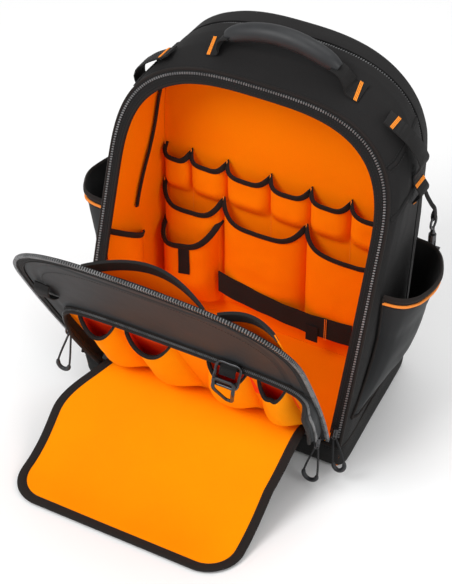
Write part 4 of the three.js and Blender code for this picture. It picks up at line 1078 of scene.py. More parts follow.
# %% Door zip
door_tape_rows = []
for inset in (0.6, 3.5, 6.5, 10.5):
    x, h = door_rim(inset, 420, foot=inset)
    keep = h > 14
    door_tape_rows.append(resample(on_door(x[keep], h[keep], 0.1 if inset < 9 else 0.8), count=300))
x, h = door_rim(1.6, 900)
keep = h > 15
door_edge = on_door(x[keep], h[keep], -0.6)
inner_x, inner_h = door_rim(11.5, 900)
inner_keep = inner_h > 15
bead = on_door(inner_x[inner_keep], inner_h[inner_keep], 0.6)
make("door_zip_tape", [
    (sheet(np.array(door_tape_rows), 3.4, DOOR_OUT), "zip_tape"),
    (tube(resample(door_edge, 4.0), DOOR_OUT, round_section(1.9, 8)), "thread_black"),
    (tube(resample(bead, 4.0), DOOR_OUT, round_section(0.8, 8)), "zip_tape"),
], "door_zip")
repeat_along(
    "door_teeth", [(resample(door_edge, TOOTH_PITCH) + 0.3 * DOOR_OUT, DOOR_OUT)], (1.7, 4.4, 4.2), "zip_teeth",
    narrowing=0.3, turn=0.15
)
for inset in (5.2, 8.6):
    x, h = door_rim(inset, 500)
    keep = h > 16
    SEAMS_DARK.append(stitched(on_door(x[keep], h[keep], 0.5), DOOR_OUT))

# %% [markdown]
# ## Pockets inside the door
# Two flat pockets hang on the door's inner face. From outside only their mouths show over the zip:
# each is bound with wide black tape that arches where the pocket gapes.
# Only a gaping mouth has to look right here, so each pocket is one bowed sheet.

# %% Door pockets
DOOR_HALF = DOOR_WIDTH / 2
door_pocket_parts, mouths = [], []
for low, high, bulge in ((-0.36, 0.48, 27), (0.56, 0.94, 11)):
    s = np.linspace(0, 1, 50)
    share = np.linspace(0, 1, 16)
    x = lerp(low, high, s)[None] * DOOR_HALF + 0 * share[:, None]
    out = bulge * np.sin(np.pi * s)[None] ** 0.9 * share[:, None] ** 0.8
    grid = on_door(x, 170 + (346 - 170) * share[:, None] + 0 * x, -7.2 - out)
    door_pocket_parts.append((sheet(grid, 1.5, -DOOR_OUT), "orange_cloth"))
    mouths.append(grid)
bands = []
for grid in mouths:
    low_edge = grid[-1] * 0.22 + grid[-2] * 0.78
    top_edge = grid[-1] + 1.4 * DOOR_ALONG - 0.8 * DOOR_OUT
    foot_edge = low_edge - 9 * DOOR_ALONG - 0.8 * DOOR_OUT
    band = np.array([lerp(top_edge, foot_edge, t) for t in np.linspace(0, 1, 5)])
    bands.append((sheet(band, 3.6, -DOOR_OUT), "webbing"))
make("door_pocket_sheets", door_pocket_parts + bands, "door_pockets")

# %% [markdown]
# Small things on the door's face: a folded tab of ribbed webbing at its left, held by a bar of stitches.
# It is a flat section swept over a short arc, as a folded strip of webbing is.

# %% Door tab
tab_path = smooth_path(
    [
        on_door(-150, 250, 1.5), on_door(-151, 243, 7), on_door(-151, 232, 9.5), on_door(-150, 222, 7),
        on_door(-149, 214, 1.6)
    ],
    24
)
make("door_tab", [(tube(tab_path, DOOR_OUT, flat_section(20, 2.2)), "webbing")], ())

# %% [markdown]
# ## The front pocket's wall
# A band of coated cloth stands round the front pocket, wide at the sides and narrow over the top. It is soft:
# it buckles between its seams, most at the right, where the weight of the flap pulls it down. Its front edge
# is bound, and beside the binding lies the pocket's own zip.
# Cloth simulation could make the buckles. Here they are waves and noise on a grid, strongest at the right.

# %% Front pocket wall
def gusset_rim(inset, count=200):
    form = dict(shoulder=0.7, taper=0.09, power=3.6)
    w = even_turns(count, GUSSET_WIDTH - 2 * inset, GUSSET_FOOT, GUSSET_TOP - inset, **form)
    x, h = outline(w, GUSSET_WIDTH - 2 * inset, GUSSET_FOOT, GUSSET_TOP - inset, **form)
    keep = h > GUSSET_FOOT + 3
    return resample(np.stack([x[keep] + GUSSET_SHIFT, h[keep]], 1), count=count)


base_rim, edge_rim = gusset_rim(0), gusset_rim(8)
at_top = ease(base_rim[:, 1], 140, 196)
gusset_depth = 19.4 - 14.2 * at_top
edge_rim = lerp(edge_rim, base_rim, at_top[:, None])
gusset_rows = []
for t in np.linspace(0, 1, 16):
    out = 0.35 + gusset_depth * t
    tuck = np.clip((t - 0.55) / 0.45, 0, 1)
    rim = lerp(base_rim, edge_rim, tuck)
    gusset_rows.append(on_door(rim[:, 0], rim[:, 1], out))
gusset_grid = np.array(gusset_rows)
gusset_normal = grid_normals(gusset_grid)
gusset_normal *= np.sign(
    np.sum(gusset_normal * (gusset_grid - on_door(GUSSET_SHIFT, 110, 10)), axis=2, keepdims=True)
)
s = np.linspace(0, 1, gusset_grid.shape[1])
right_side = ease(1 - s, 0.55, 0.85)
ripple = 0.5 * np.sin(s * 46 + 1.5 * np.sin(9 * s)) * right_side + 0.6 * bumps(gusset_grid, 28, 31.0)
swell = np.sin(np.pi * np.linspace(0, 1, 16))[:, None]
buckle = (0.8 + 1.6 * ripple * (0.5 + right_side)) * swell * (1 - 0.7 * at_top)
gusset_grid = gusset_grid + gusset_normal * buckle[..., None]
rim_path = gusset_grid[-1] + 0.2 * DOOR_OUT
zip_line = gusset_grid[10] + gusset_normal[10] * 1.0
make("front_pocket_band", [
    (sheet(gusset_grid, 2.8, gusset_normal), ("coated_cloth", "binding")),
    (tube(rim_path, DOOR_OUT, flat_section(5.0, 4.4, 0.45)), "binding"),
    (tube(gusset_grid[0] + gusset_normal[0] * 0.6, DOOR_OUT, round_section(1.7, 8)), "binding"),
], "front_pocket_wall")
zip_points = resample(zip_line, 2.2)
zip_up = unit(zip_points - on_door(GUSSET_SHIFT, 110, 12))
repeat_along("pocket_teeth", [(zip_points, zip_up)], (1.3, 3.4, 1.8), "zip_teeth", narrowing=0.3)
for row in (7, 13):
    SEAMS_DARK.append(stitched(gusset_grid[row], gusset_normal[row].mean(0)))

# %% [markdown]
# ## Tool pockets
# Four pockets stand in a row on the orange back of the front pocket. Each is wider than its base, so it
# gapes: its mouth dips in the middle and is bound in dark tape. Inside, the orange lining is painted deep red as
# shade, on the back face of each pocket and on a thin red sheet behind its mouth.
# Each is a sheet with an orange front and a back in that painted shade, so that one mesh shows both.

# %% Tool pockets
back_x, back_h = base_rim[:, 0], base_rim[:, 1]
half = len(back_x) // 2
t = np.linspace(0, 1, 40)[None]
gx = (back_x[:half, None] - 2.5) * (1 - t) + (back_x[::-1][:half, None] + 2.5) * t
gh = np.minimum(back_h[:half, None] * (1 - t) + back_h[::-1][:half, None] * t, GUSSET_TOP - 3.4)
make("pocket_back", [(sheet(on_door(gx, gh, 1.2), 0.9, DOOR_OUT), "orange_cloth")], ())
# each pocket: where its mouth runs across, then where its foot does, as shares of half the width
TOOL_POCKETS = [
    ((-0.72, -0.42), (-0.75, -0.36)), ((-0.33, 0.04), (-0.34, 0.09)),
    ((0.34, 0.65), (0.11, 0.56)), ((0.74, 0.96), (0.58, 0.93)),
]
for number, (mouth, foot) in enumerate(TOOL_POCKETS, 1):
    t, share = np.linspace(0, 1, 44)[None], np.linspace(0, 1, 34)[:, None]
    hang = np.sin(np.pi * t)
    x = lerp(lerp(foot[0], foot[1], t), lerp(mouth[0], mouth[1], t), share) * GUSSET_WIDTH / 2
    h = 56 + (193 - 19 * (1 - np.abs(2 * t - 1) ** 2.4) - 56) * share
    out = 20 * hang**0.6 * foot_rise(share * 1.6) + 1.3
    shape = np.stack(np.broadcast_arrays(x, h, 0 * x), -1)
    crease = 1.3 * bumps(shape, 26, 40.0 + number) + 0.7 * np.sin(14 * (h - 60) / 130 + 3 * t) * (1 - share) * hang
    out = out + crease * hang * ease(share, 0, 0.25)
    grid = on_door(x + 0 * h, h + 0 * x, out)
    if number == 4:
        grid = grid - 3.0 * DOOR_OUT * (ease(share, 0.5, 1) * np.exp(-(((t - 0.5) / 0.12) ** 2)))[..., None]
    rim = grid[-1]
    bind = resample(rim, 2.5)
    # a thin red sheet on the pocket's back, behind its mouth: painted shade of the orange lining inside
    painted_shade_x = lerp(mouth[0], mouth[1], t) * GUSSET_WIDTH / 2 + 0 * share
    painted_shade_h = 120 + (min(190.0, GUSSET_TOP - 12) - 120) * share + 0 * t
    make(f"tool_pocket_{number}_cloth", [
        # orange front; the back is painted red as shade
        (sheet(grid, 1.4, DOOR_OUT), ("orange_flap", "red_cloth")),
        (sheet(on_door(painted_shade_x, painted_shade_h, 1.6), 0.3, DOOR_OUT), "red_cloth"),
        (tube(bind + 0.2 * DOOR_ALONG - 0.5 * DOOR_OUT, DOOR_OUT, flat_section(3.2, 5.4, 0.4)), "binding"),
    ], f"tool_pocket_{number}")

# %% [markdown]
# ## The flap
# The front pocket's cover is folded down: it is sewn along the pocket's foot, rises over the lower edge and
# lies out to the ground. It is one sheet of orange cloth with round corners and a wide dark binding, and it
# has soft broad waves.
# It could be dropped as a simulated cloth. Here a listed curve gives its fall, the same each time.

# %% Flap
FLAP_LENGTH, FLAP_HALF, FLAP_CORNER, BINDING = 221.0, 137.0, 46.0, 12.0
# the fall of the flap: share of its length, share of it reached outwards, share of the drop to the ground
SLOPE = np.array(
    [
        (0, 0, 0), (0.086, 0.086, -0.012), (0.208, 0.195, 0.14), (0.402, 0.339, 0.465), (0.632, 0.525, 0.814),
        (0.811, 0.7, 0.983), (1, 0.9, 1)
    ]
)
FLAP_HINGE = on_door(0, GUSSET_FOOT + 8, GAP)
fine = smooth_path(SLOPE, 240)


def on_flap(x, along, lift=0.0):
    share = along / FLAP_LENGTH
    out = np.interp(share, fine[:, 0], fine[:, 1]) * FLAP_LENGTH
    drop = np.interp(share, fine[:, 0], fine[:, 2]) * (FLAP_HINGE[2] - 4)
    skew = 19 - 26 * ease(share, 0, 0.46)
    waves = 2.4 * bumps(np.stack([x, along, 0 * x], -1), 85, 51.0) + 1.1 * np.sin(x / 34 + along / 50)
    wave = waves * ease(share, 0.05, 0.3) * ease(FLAP_LENGTH - along, 0, 60)
    z = FLAP_HINGE[2] - drop + np.maximum(wave, -2.5) + lift
    return np.stack([x + skew, FLAP_HINGE[1] - out - 0 * x, np.maximum(z, 3.2 + lift)], -1)


def flap_half(along, inset=0.0):
    """Half the width at a length, with the rounded corners."""
    share = along / FLAP_LENGTH
    full = FLAP_HALF + 18 * ease(share, 0, 0.42) - inset
    end, corner = FLAP_LENGTH - inset, FLAP_CORNER - inset
    over = np.clip(along - (end - corner), 0, corner)
    return full - corner + np.sqrt(np.maximum(corner**2 - over**2, 0))


end = FLAP_LENGTH - BINDING + 1
steps = np.concatenate([np.linspace(0, end - 36, 60), end - 36 * (1 - np.sin(np.linspace(0, np.pi / 2, 26)[1:]))])
rows = []
for along in steps:
    half = float(flap_half(np.array(along), BINDING - 1))
    x = np.linspace(-half, half, 80)
    rows.append(on_flap(x, np.full(80, along)))
flap_grid = np.array(rows)
flap = make(
    "flap_cloth", [(sheet(flap_grid, 1.6, (0, -0.3, 1)), ("orange_flap", "black_cloth"))], "flap",
)

# %% Flap binding
def flap_rim(inset, count=260):
    end = FLAP_LENGTH - inset
    along = np.concatenate(
        [np.linspace(0, end - 36, 80), end - 36 * (1 - np.sin(np.linspace(0, np.pi / 2, 60)[1:]))]
    )
    half = flap_half(along, inset)
    line = np.vstack([np.stack([-half, along], 1), np.stack([half, along], 1)[::-1]])
    line = resample(line, count=count)
    return on_flap(line[:, 0], line[:, 1], 0.9)


rims = np.array([flap_rim(inset) for inset in (0.0, 1.2, 4, 8, 10.8, 11.8)])
rims[0, :, 2] -= 1.6
rims[-1, :, 2] -= 0.7
rims[2:4, :, 2] += 0.5
flap_hem = make("flap_hem", [(sheet(rims, 3.0, (0, -0.3, 1)), "binding")], "flap_binding")
SEAMS_DARK.append(stitched(flap_rim(9.6) + (0, 0, 0.5), (0, 0, 1), 3.2))

# %% [markdown]
# ## Pockets on the back wall
# Two rows of pockets are sewn side by side on the back wall. Between its seams each pocket stands away from
# the wall, and its bound mouth hangs in a shallow curve. A row is one sheet, gathered between dividers.
# The gather comes from one rounded curve between each pair of dividers, used both for the dip and the bulge.

# %% Rows of pockets
LINING_BACK = 63.3
UPPER_BULGE, MIDDLE_BULGE = 15, 20
INNER_HALF = float(side_at(LINING_BACK, BOOT, 1)) - 6.3


def pocket_row(name, dividers, top, foot, dip, bulge, base, node, flat=0.0, steps=22, rows=30, seed=0.0):
    across, hang, number = [], [], []
    for k in range(len(dividers) - 1):
        s = np.linspace(0, 1, steps + 1)[(1 if k else 0):]
        across.append(lerp(dividers[k], dividers[k + 1], s))
        hang.append((1 - np.abs(2 * s - 1) ** 3.8) ** 0.8)
        number.append(np.full(len(s), k))
    x, hang, number = np.concatenate(across)[None], np.concatenate(hang)[None], np.concatenate(number)[None]
    share = np.linspace(0, 1, rows)[:, None]
    mouth = top - dip * hang
    z = foot + (mouth - foot) * share
    rise = np.where(share < flat, 0.12, foot_rise((share - flat) / (1 - flat)))
    rise = np.where(share < flat, rise, np.maximum(0.12, rise))
    out = bulge * hang**0.7 * rise * ease(share, 0, 0.04)
    shape = np.stack(np.broadcast_arrays(x, 0 * z + number * 37.0, z), -1)
    soft = 1.0 * bumps(shape, 34, seed) + 0.5 * bumps(shape, 15, seed + 3)
    out = out + soft * hang * ease(share, max(flat, 0.02), max(flat, 0.02) + 0.25) * 1.2
    grid = np.stack(np.broadcast_arrays(x, LINING_BACK - base - np.maximum(out, 0.2) - 0 * z, z), -1)
    chunks = [(sheet(grid, 1.3, (0, -1, 0)), ("orange_cloth", "orange_cloth"))]
    rim = grid[-1] + (0, -0.9, 0.6)
    chunks.append((tube(rim, (0, -1, 0.001), flat_section(7.6, 3.0, 0.45)), "binding"))
    for k, divider in enumerate(dividers):
        line = np.array([(divider, LINING_BACK - base - 0.5, z) for z in np.linspace(foot + 1, top - 5, 20)])
        SEAMS_ORANGE.append(stitched(line, (0, -1, 0), 4.0))
        bar = np.array([(divider, LINING_BACK - base - 4.6, z) for z in np.linspace(top - 7.5, top + 3.5, 12)])
        TACKS.append((bar, (0, -1, 0)))
    make(name, chunks, node)


upper = [s * INNER_HALF for s in (-0.99, -0.76, -0.45, -0.08, 0.26, 0.59, 0.99)]
lower = [s * INNER_HALF for s in (-0.99, -0.47, 0.24, 0.97)]
pocket_row(
    "upper_pockets", upper, top=262, foot=150, dip=12, bulge=UPPER_BULGE, base=GAP, node="pockets_upper",
    flat=0.42, seed=60.0,
)
middle_base = UPPER_BULGE * 0.12 + 1.6
pocket_row(
    "middle_pockets", lower, top=207, foot=34, dip=27, bulge=MIDDLE_BULGE, base=middle_base, node="pockets_middle",
    steps=40, rows=40, seed=70.0,
)

# %% [markdown]
# A softer pocket for glasses hangs before the left middle pocket, sewn down its two edges, with a deep dip in
# its mouth. A plain black cloth tag is sewn to its front.
# It stands off by the depth of the row behind it.

# %% Glasses pocket and tag
s, share = np.linspace(0, 1, 46)[None], np.linspace(0, 1, 34)[:, None]
carrier = (1 - np.abs(2 * s - 1) ** 3.4) ** 0.56
x = lerp(lower[0] + 3, lower[1] - 3, s)
hang = (1 - np.abs(2 * s - 1) ** 3.4) ** 0.7
z = 40 + (lerp(150, 171, s) - 24 * hang - 40) * share
out = 16 * hang**0.7 * foot_rise(share)
shape = np.stack(np.broadcast_arrays(x + 0 * z, 0 * z, z), -1)
out = out + 1.4 * bumps(shape, 30, 80.0) * hang * ease(share, 0, 0.3)
behind = middle_base + MIDDLE_BULGE * carrier + 1.6
glasses = np.stack(np.broadcast_arrays(x, LINING_BACK - behind - 1.5 - out, z), -1)
make("glasses_pocket", [
    (sheet(glasses, 1.4, (0, -1, 0)), "orange_cloth"),
    (tube(glasses[-1] + (0, -0.9, 0.6), (0, -1, 0.001), flat_section(8.4, 3.2, 0.45)), "binding"),
], "goggle_pocket")
centre = 20
tag_rows = []
for k in range(33, 17, -1):
    a, b = glasses[k, centre], glasses[k, centre + 9]
    tag_rows.append([lerp(a, b, t) + (0, -1.8, 0) for t in np.linspace(0, 1, 6)])
make("glasses_tag", [(sheet(np.array(tag_rows), 0.8, (0, -1, 0)), "webbing")], ())

# %% [markdown]
# A broad elastic strap crosses low before the pockets and holds long tools. A bar of orange stitches fixes it
# at the right, and a small black tag hangs from it.
# Its edges are slightly wavy, since elastic is never quite flat.

# %% Tool strap
band_left, band_right = -0.46, 0.7
x = np.linspace(band_left, band_right, 90) * INNER_HALF
t = np.linspace(0, 1, 90)
mid = lerp(84, 68, t) - 9 * np.sin(np.pi * t)
depth = LINING_BACK - (middle_base + MIDDLE_BULGE - 1.6 + 0.9) - 2.5 - 0.8 * np.sin(5 * np.pi * t) ** 2
rows = []
for k in np.linspace(0.5, -0.5, 9):
    lean = 1.2 * bumps(np.stack([x, 0 * x + k * 30, 0 * x], -1), 40, 90.0)
    rows.append(np.stack([x, depth + lean * (abs(k) * 2) - 0.4, mid + k * 33 * (1 - 0.08 * np.sin(np.pi * t))], 1))
strap_grid = np.array(rows)
strap_tag = []
k = 60
for row in range(4, 9):
    strap_tag.append([strap_grid[row, k] + (dx, -1.4, 0) for dx in np.linspace(0, 17, 5)])
strap_tag += [[strap_grid[8, k] + (dx, -1.6, -d) for dx in np.linspace(0, 17, 5)] for d in (5, 10)]
make("tool_strap_band", [
    (sheet(strap_grid, 2.2, (0, -1, 0)), "webbing"),
    (sheet(np.array(strap_tag), 0.8, (0, -1, 0)), "black_cloth"),
], "tool_strap")
bar_x = x[72]
for shift in (0, 2.2):
    heights = np.linspace(mid[72] - 17, mid[72] + 17, 14)
    line = np.array([(bar_x + shift, float(depth[72]) - 1.6, z) for z in heights])
    SEAMS_ORANGE.append(stitched(line, (0, -1, 0), 1.7))

# %% [markdown]
# ## Pockets on the side walls
# One pocket stands on each side wall, its dark mouth sloping towards the front on the left.
# The same sheet as before is used, turned to the side and following the wall.

# %% Wall pockets
def wall_pocket(name, side, y_from, y_to, top, fall, foot, bulge, seed):
    t, share = np.linspace(0, 1, 34)[None], np.linspace(0, 1, 30)[:, None]
    y = lerp(y_from, y_to, t) + 0 * share
    hang = np.sin(np.pi * t)
    z = foot + (top - fall * t - foot) * share
    out = bulge * hang * foot_rise(share) + 0.3
    shape = np.stack([y, 0 * y, z], -1)
    out = out + 1.2 * bumps(shape, 28, seed) * hang * ease(share, 0, 0.3)
    x = side * (side_at(y, z, side) - 4 - 1.4 - 0.9 - out)
    grid = np.stack([x, y, z], -1)
    make(f"{name}_cloth", [
        (sheet(grid, 1.3, (-side, 0, 0)), "orange_cloth"),
        (tube(grid[-1] + (-side * 0.8, 0, 0.5), (-side, 0, 0.001), flat_section(7.6, 3.0, 0.45)), "binding"),
    ], name)


wall_pocket(
    "wall_pocket_left", side=-1, y_from=-66, y_to=8, top=200, fall=50, foot=60, bulge=16, seed=100.0,
)
wall_pocket(
    "wall_pocket_right", side=1, y_from=-38, y_to=24, top=226, fall=12, foot=90, bulge=20, seed=104.0,
)

# %% [markdown]
# On the left a dark strip runs down the side wall: painted shadow, standing for the dark fold where the lining
# of the side wall meets the back wall. It starts under the top corner and runs forwards and down to the mouth
# of the wall pocket. A flat section is swept along the wall, over the lining.

# %% Painted shadow of the lining's fold
turns = smooth_path([(52, 372), (46, 345), (39, 310), (28, 278), (14, 249), (4, 225), (-4, 200)], 60)
fold_shadow_line = np.stack([-(side_at(turns[:, 0], turns[:, 1], -1) - 7.6), turns[:, 0], turns[:, 1]], 1)
# the dark strip is painted shadow of a fold in the lining
make("painted_fold_shadow", [(tube(fold_shadow_line, (1, 0, 0.001), flat_section(7.0, 2.0, 0.45)), "binding")], ())
print("inner pockets made")

# %% [markdown]
# ## Side pockets
# A big open pocket hangs on each side. The cloth is coated and stiff, so it bows out in one swell with a few
# long creases. Its mouth is bound in black, and a bright piping runs a finger's width below it.
# The creases are noise whose strength fades to nothing at the sewn edges.

# %% Side pockets
SIDE_FOOT, SIDE_FOOT_RISE, SIDE_TOP, SIDE_TOP_FALL = 47, 32, 230, 4
SIDE_FRONT, SIDE_FRONT_REACH, SIDE_REAR = -50, 58, 74


def side_pocket(name, side, bulge, seed):
    t, share = np.linspace(0, 1, 84)[None], np.linspace(0, 1, 56)[:, None]
    foot = SIDE_FOOT + (1 - t) * SIDE_FOOT_RISE
    z = foot + (SIDE_TOP - SIDE_TOP_FALL * t - foot) * share
    y = lerp(SIDE_FRONT - SIDE_FRONT_REACH * np.maximum(0, 1 - share / 0.6) ** 1.5, SIDE_REAR, t)
    swell = np.sin(np.pi * np.clip(t, 1e-4, 1 - 1e-4)) ** 0.32
    out = bulge * swell * lerp(0.3, 1, share) * foot_rise(share * 1.4)
    edge = ease(t, 0, 0.12) * ease(1 - t, 0, 0.12)
    shape = np.stack([y + 0 * z, 0 * z, z + 0 * y], -1)
    crease = 2.2 * bumps(shape, 52, seed) + 0.9 * bumps(shape, 20, seed + 4)
    lines = 1.2 * np.sin((z - 0.6 * y) / 15 + 2.5 * bumps(shape, 60, seed + 9)) * ease(1 - share, 0.35, 0.9)
    out = out + (crease + lines - 1.0) * edge * ease(share, 0.03, 0.2)
    held = 0.9 + 3.0 * ease(t, 0, 0.06) * ease(1 - t, 0, 0.06)
    x = side * (side_at(y, z, side) + held + np.maximum(out, -2.2))
    grid = np.stack(np.broadcast_arrays(x, y, z), -1)
    normal = grid_normals(grid)
    normal *= np.sign(normal[..., :1] * side + 1e-9)
    mouth = grid[-1] + (0, 0, 0.8)
    piping_row = grid[-4]
    chunks = [
        (sheet(grid, 2.4, (side, 0, 0)), ("coated_side", "black_cloth")),
        (tube(mouth, (side, 0, 0.001), flat_section(7.0, 4.4, 0.45)), "binding"),
        (tube(piping_row + normal[-4] * 1.2, normal[-4], round_section(1.9, 10)), "piping"),
        (tube(grid[0] + normal[0] * 0.6, normal[0], round_section(2.0, 8)), "binding"),
        (tube(grid[:, 0] + normal[:, 0] * 0.5, normal[:, 0], round_section(1.8, 8)), "binding"),
    ]
    make(f"side_pocket_cloth_{name}", chunks, f"side_pocket_{name}")
    for row in (-6, 2):
        SEAMS_DARK.append(stitched(grid[row] + normal[row] * 0.3, normal[row].mean(0)))


side_pocket("left", side=-1, bulge=60, seed=110.0)
side_pocket("right", side=1, bulge=50, seed=120.0)

# %% [markdown]
# ## Webbing ladders
# A strip of webbing runs down each shoulder of the bag and is tacked every few centimetres, so that it
# stands off in loops for clips. Each tack is a bar of close orange stitches.
# One swept strip with its height above the cloth in a table is easier to tune than separate loops.

# %% Ladders
WEB_WIDTH = 25.0
# share of height, share of depth, height above the cloth
LADDER = np.array([
    (0.917, 0.1, 2), (0.9, 0.14, 2.5), (0.87, 0.2, 9), (0.835, 0.27, 12), (0.8, 0.34, 10), (0.765, 0.38, 0.4),
    (0.74, 0.41, 0.4),
    (0.71, 0.44, 9), (0.68, 0.47, 0.4),
])


def ladder(name, side):
    rows = smooth_path(LADDER, 90)
    z = rows[:, 0] * HEIGHT
    y = depth_at(rows[:, 1], z)
    x = np.max([side_at(y + w, z, side) for w in (-WEB_WIDTH / 2, 0, WEB_WIDTH / 2)], axis=0)
    grid = np.array(
        [
            np.stack([side * (x + 2.6 + 0.6 + np.maximum(rows[:, 2], 0)), y + w, z], 1)
            for w in np.linspace(-WEB_WIDTH / 2, WEB_WIDTH / 2, 7)
        ]
    )
    path = grid[3]
    up = unit(np.cross(tangents(path), (0, 1, 0)))
    up *= np.sign(up[:, :1] * side)
    strip = tube(path, up, flat_section(WEB_WIDTH, 2.3))
    make(f"ladder_{name}", [(strip, "webbing")], f"side_webbing_{name}")
    for share in (0.02, 0.62, 0.985):
        k = int(share * 89)
        for shift in (-1.6, 0, 1.6):
            centre = path[k] + tangents(path)[k] * shift
            line = centre + np.outer(np.linspace(-11, 11, 16), (0, 1, 0))
            TACKS.append((line + 1.5 * up[k], up[k]))


ladder("left", -1)
ladder("right", 1)

# %% [markdown]
# ## Handle
# The handle is a smooth rubber grip over webbing. It arches over the top and its two ends narrow into flat
# tails that are sewn down to the top panel.
# Sweeping a round section that narrows at both ends gives the grip in one closed mesh.

# %% Handle
HANDLE_SHARE, GRIP_RADIUS = 0.16, 11.8
handle_z = float(section(HANDLE_SHARE)[1])
handle_y = float(depth_at(HANDLE_SHARE, handle_z))
grip_centre, grip_span, grip_rise, grip_end = 14.0, 146.0, 20.0, handle_z + 18
t = np.linspace(-1, 1, 60)
grip_path = np.stack([grip_centre + t * grip_span / 2, handle_y + 0 * t, grip_end + grip_rise * (1 - t**2)], 1)
size = (1 - 0.42 * np.abs(t) ** 9) * (1 + 0.03 * np.cos(3 * t))
make(
    "handle_tube", [(tube(grip_path, (0, 0.05, 1), round_section(GRIP_RADIUS, 28, 1.02), taper=size), "rubber_grip")],
    "handle_grip"
)


def on_top(x, lift):
    return np.array([x, handle_y, float(top_over(x, HANDLE_SHARE)) + 2.5 + lift])


for name, side, reach in (("left", -1, 12), ("right", 1, 18)):
    end = np.array([grip_centre + side * grip_span / 2, handle_y, grip_end])
    tail = smooth_path([
        end + (-side * 6, 0, 2), end + (side * 1, 0, -0.6), end + (side * 7, 0, -5),
        on_top(end[0] + side * reach * 0.75, 8),
        on_top(end[0] + side * reach, 2), on_top(end[0] + side * (reach + 14), 0.6),
    ], 40)
    near_top, far_top = section(0.07)[1], section(0.22)[1]
    flat = unit(np.array([0, depth_at(0.22, far_top) - depth_at(0.07, near_top), far_top - near_top], float))
    across = unit(lerp(np.array([0, 1.0, 0]), flat, ease(np.linspace(0, 1, 40), 0.3, 0.8)[:, None]))
    up = unit(np.cross(across, tangents(tail)))
    up *= np.sign(up[:, 2:3] + 1e-9)
    make(
        f"handle_tail_{name}", [(tube(tail, up, flat_section(WEB_WIDTH, 2.4)), "webbing")], f"handle_webbing_{name}",
    )
    for shift in (-1.6, 0, 1.6):
        centre = tail[34] + tangents(tail)[34] * shift
        TACKS.append((centre + np.outer(np.linspace(-11, 11, 16), across[34]) + 1.5 * up[34], up[34]))

# %% [markdown]
# ## Sliders
# A zip slider is a small cast body with a bridge over it, through which the pull cord is threaded.
# A few swept sections are enough at this size, and they keep the piece light.

# %% Zip sliders
def slider(name, at, up):
    at = np.array(at, float)
    up = unit(up)
    down = unit(np.array([0, 0, -1.0]) - np.dot((0, 0, -1.0), up) * up)
    body_line = at + np.outer(np.linspace(6.2, -6.2, 14), -down)
    width = 1 - 0.32 * np.linspace(0, 1, 14) ** 2
    bridge = smooth_path(
        [
            at - down * 4.5 + up * 1.5, at - down * 3.2 + up * 3.4, at + up * 4.0, at + down * 4.0 + up * 3.0,
            at + down * 5.4 + up * 1.2
        ],
        24
    )
    hoop_angle = np.linspace(0, 2 * np.pi, 25)[:-1]
    side = np.cross(up, down)
    hoop = at + down * 5.6 + up * 1.6 + np.outer(
        np.cos(hoop_angle) * 2.6, side
    ) + np.outer(np.sin(hoop_angle) * 2.6, down)
    make(f"slider_body_{name}", [
        (tube(body_line, up, flat_section(8.6, 3.0, 0.35), taper=width), "dark_metal"),
        (tube(body_line + up * -2.2, up, flat_section(7.6, 1.2, 0.35), taper=width), "dark_metal"),
        (tube(bridge, side, round_section(1.3, 8)), "dark_metal"),
        (tube(hoop, up, round_section(0.8, 8), closed=True), "dark_metal"),
    ], f"slider_{name}")


slider("pocket_left", PULLS["pocket_left"][0], (-0.75, -0.6, 0.1))
slider("pocket_right", PULLS["pocket_right"][0], (0.3, -0.9, 0.1))
slider("door_right", PULLS["door_right"][0], (0, -1, 0.2))

# %% [markdown]
# ## Rings at the front
# Over the front pocket a short tab of webbing carries a flat ring, and a three-cornered ring hangs from it
# over the pockets.
# The rings are wires swept round closed, rounded loops.

# %% Ring tab, flat ring and triangle ring
RING_X = 90.0


def over_band(x, out, up):
    """A place over the front pocket's wall, which tucks in towards its edge."""
    tuck = 8 * max(0.0, (out / 20 - 0.55) / 0.45)
    return on_door(x, GUSSET_TOP - tuck + up, out)


def wire_loop(corners):
    """A closed wire whose corners are rounded."""
    points = []
    for k, corner in enumerate(corners):
        other = corners[(k + 1) % len(corners)]
        points += [lerp(corner, other, t) for t in (0.14, 0.5, 0.86)]
    return smooth_path(points, 96, closed=True)


tab = np.array([over_band(RING_X, out, 4.6) for out in np.linspace(0.5, 17, 10)])
tab[-2:] -= 0.8 * DOOR_ALONG
make("ring_tab_web", [(tube(tab, DOOR_ALONG, flat_section(21, 2.3)), "webbing")], "ring_tab")
flat_ring = wire_loop(
    [over_band(RING_X + sx, out, 6.2) for sx, out in ((-15.5, 4), (15.5, 4), (15.5, 27), (-15.5, 27))]
)
make(
    "flat_ring", [(tube(flat_ring, DOOR_ALONG, round_section(1.8, 12), closed=True), "dark_metal")], "d_ring",
)
corners = [
    over_band(RING_X + x, out, up) for x, out,
    up in ((-13, 24, 12), (13, 24, 12), (13, 33, 10), (4, 33, -20), (-4, 33, -20), (-13, 33, 10))
]
triangle = wire_loop(corners)
make(
    "three_cornered_ring",
    [(tube(triangle, DOOR_OUT + 0.3 * DOOR_ALONG, round_section(1.9, 12, 1.25), closed=True), "moulded")],
    "triangle_ring"
)

# %% [markdown]
# ## Bolt snap
# Behind the right side pocket a bolt snap hangs on a narrow loop of webbing: an eye that turns, a body with
# a bow, and a sprung bolt with a thumb knob. The body rides on the swivel and the bolt slides in it. These two
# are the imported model's own solids, and here they only get their finish.
# The eye is a swept ring on a shank that is turned from a profile, as on a lathe.

# %% Bolt snap
SNAP_X, SNAP_Y, EYE_Z, SHANK_TOP = 195.0, 92.0, 246.0, 228.0


def turned(profile, sides=24):
    """A turned piece about the snap's axis from pairs of radius and height."""
    angle = 2 * np.pi * np.arange(sides) / sides
    return loft([[(SNAP_X + r * math.cos(a), SNAP_Y + r * math.sin(a), z) for a in angle] for r, z in profile])


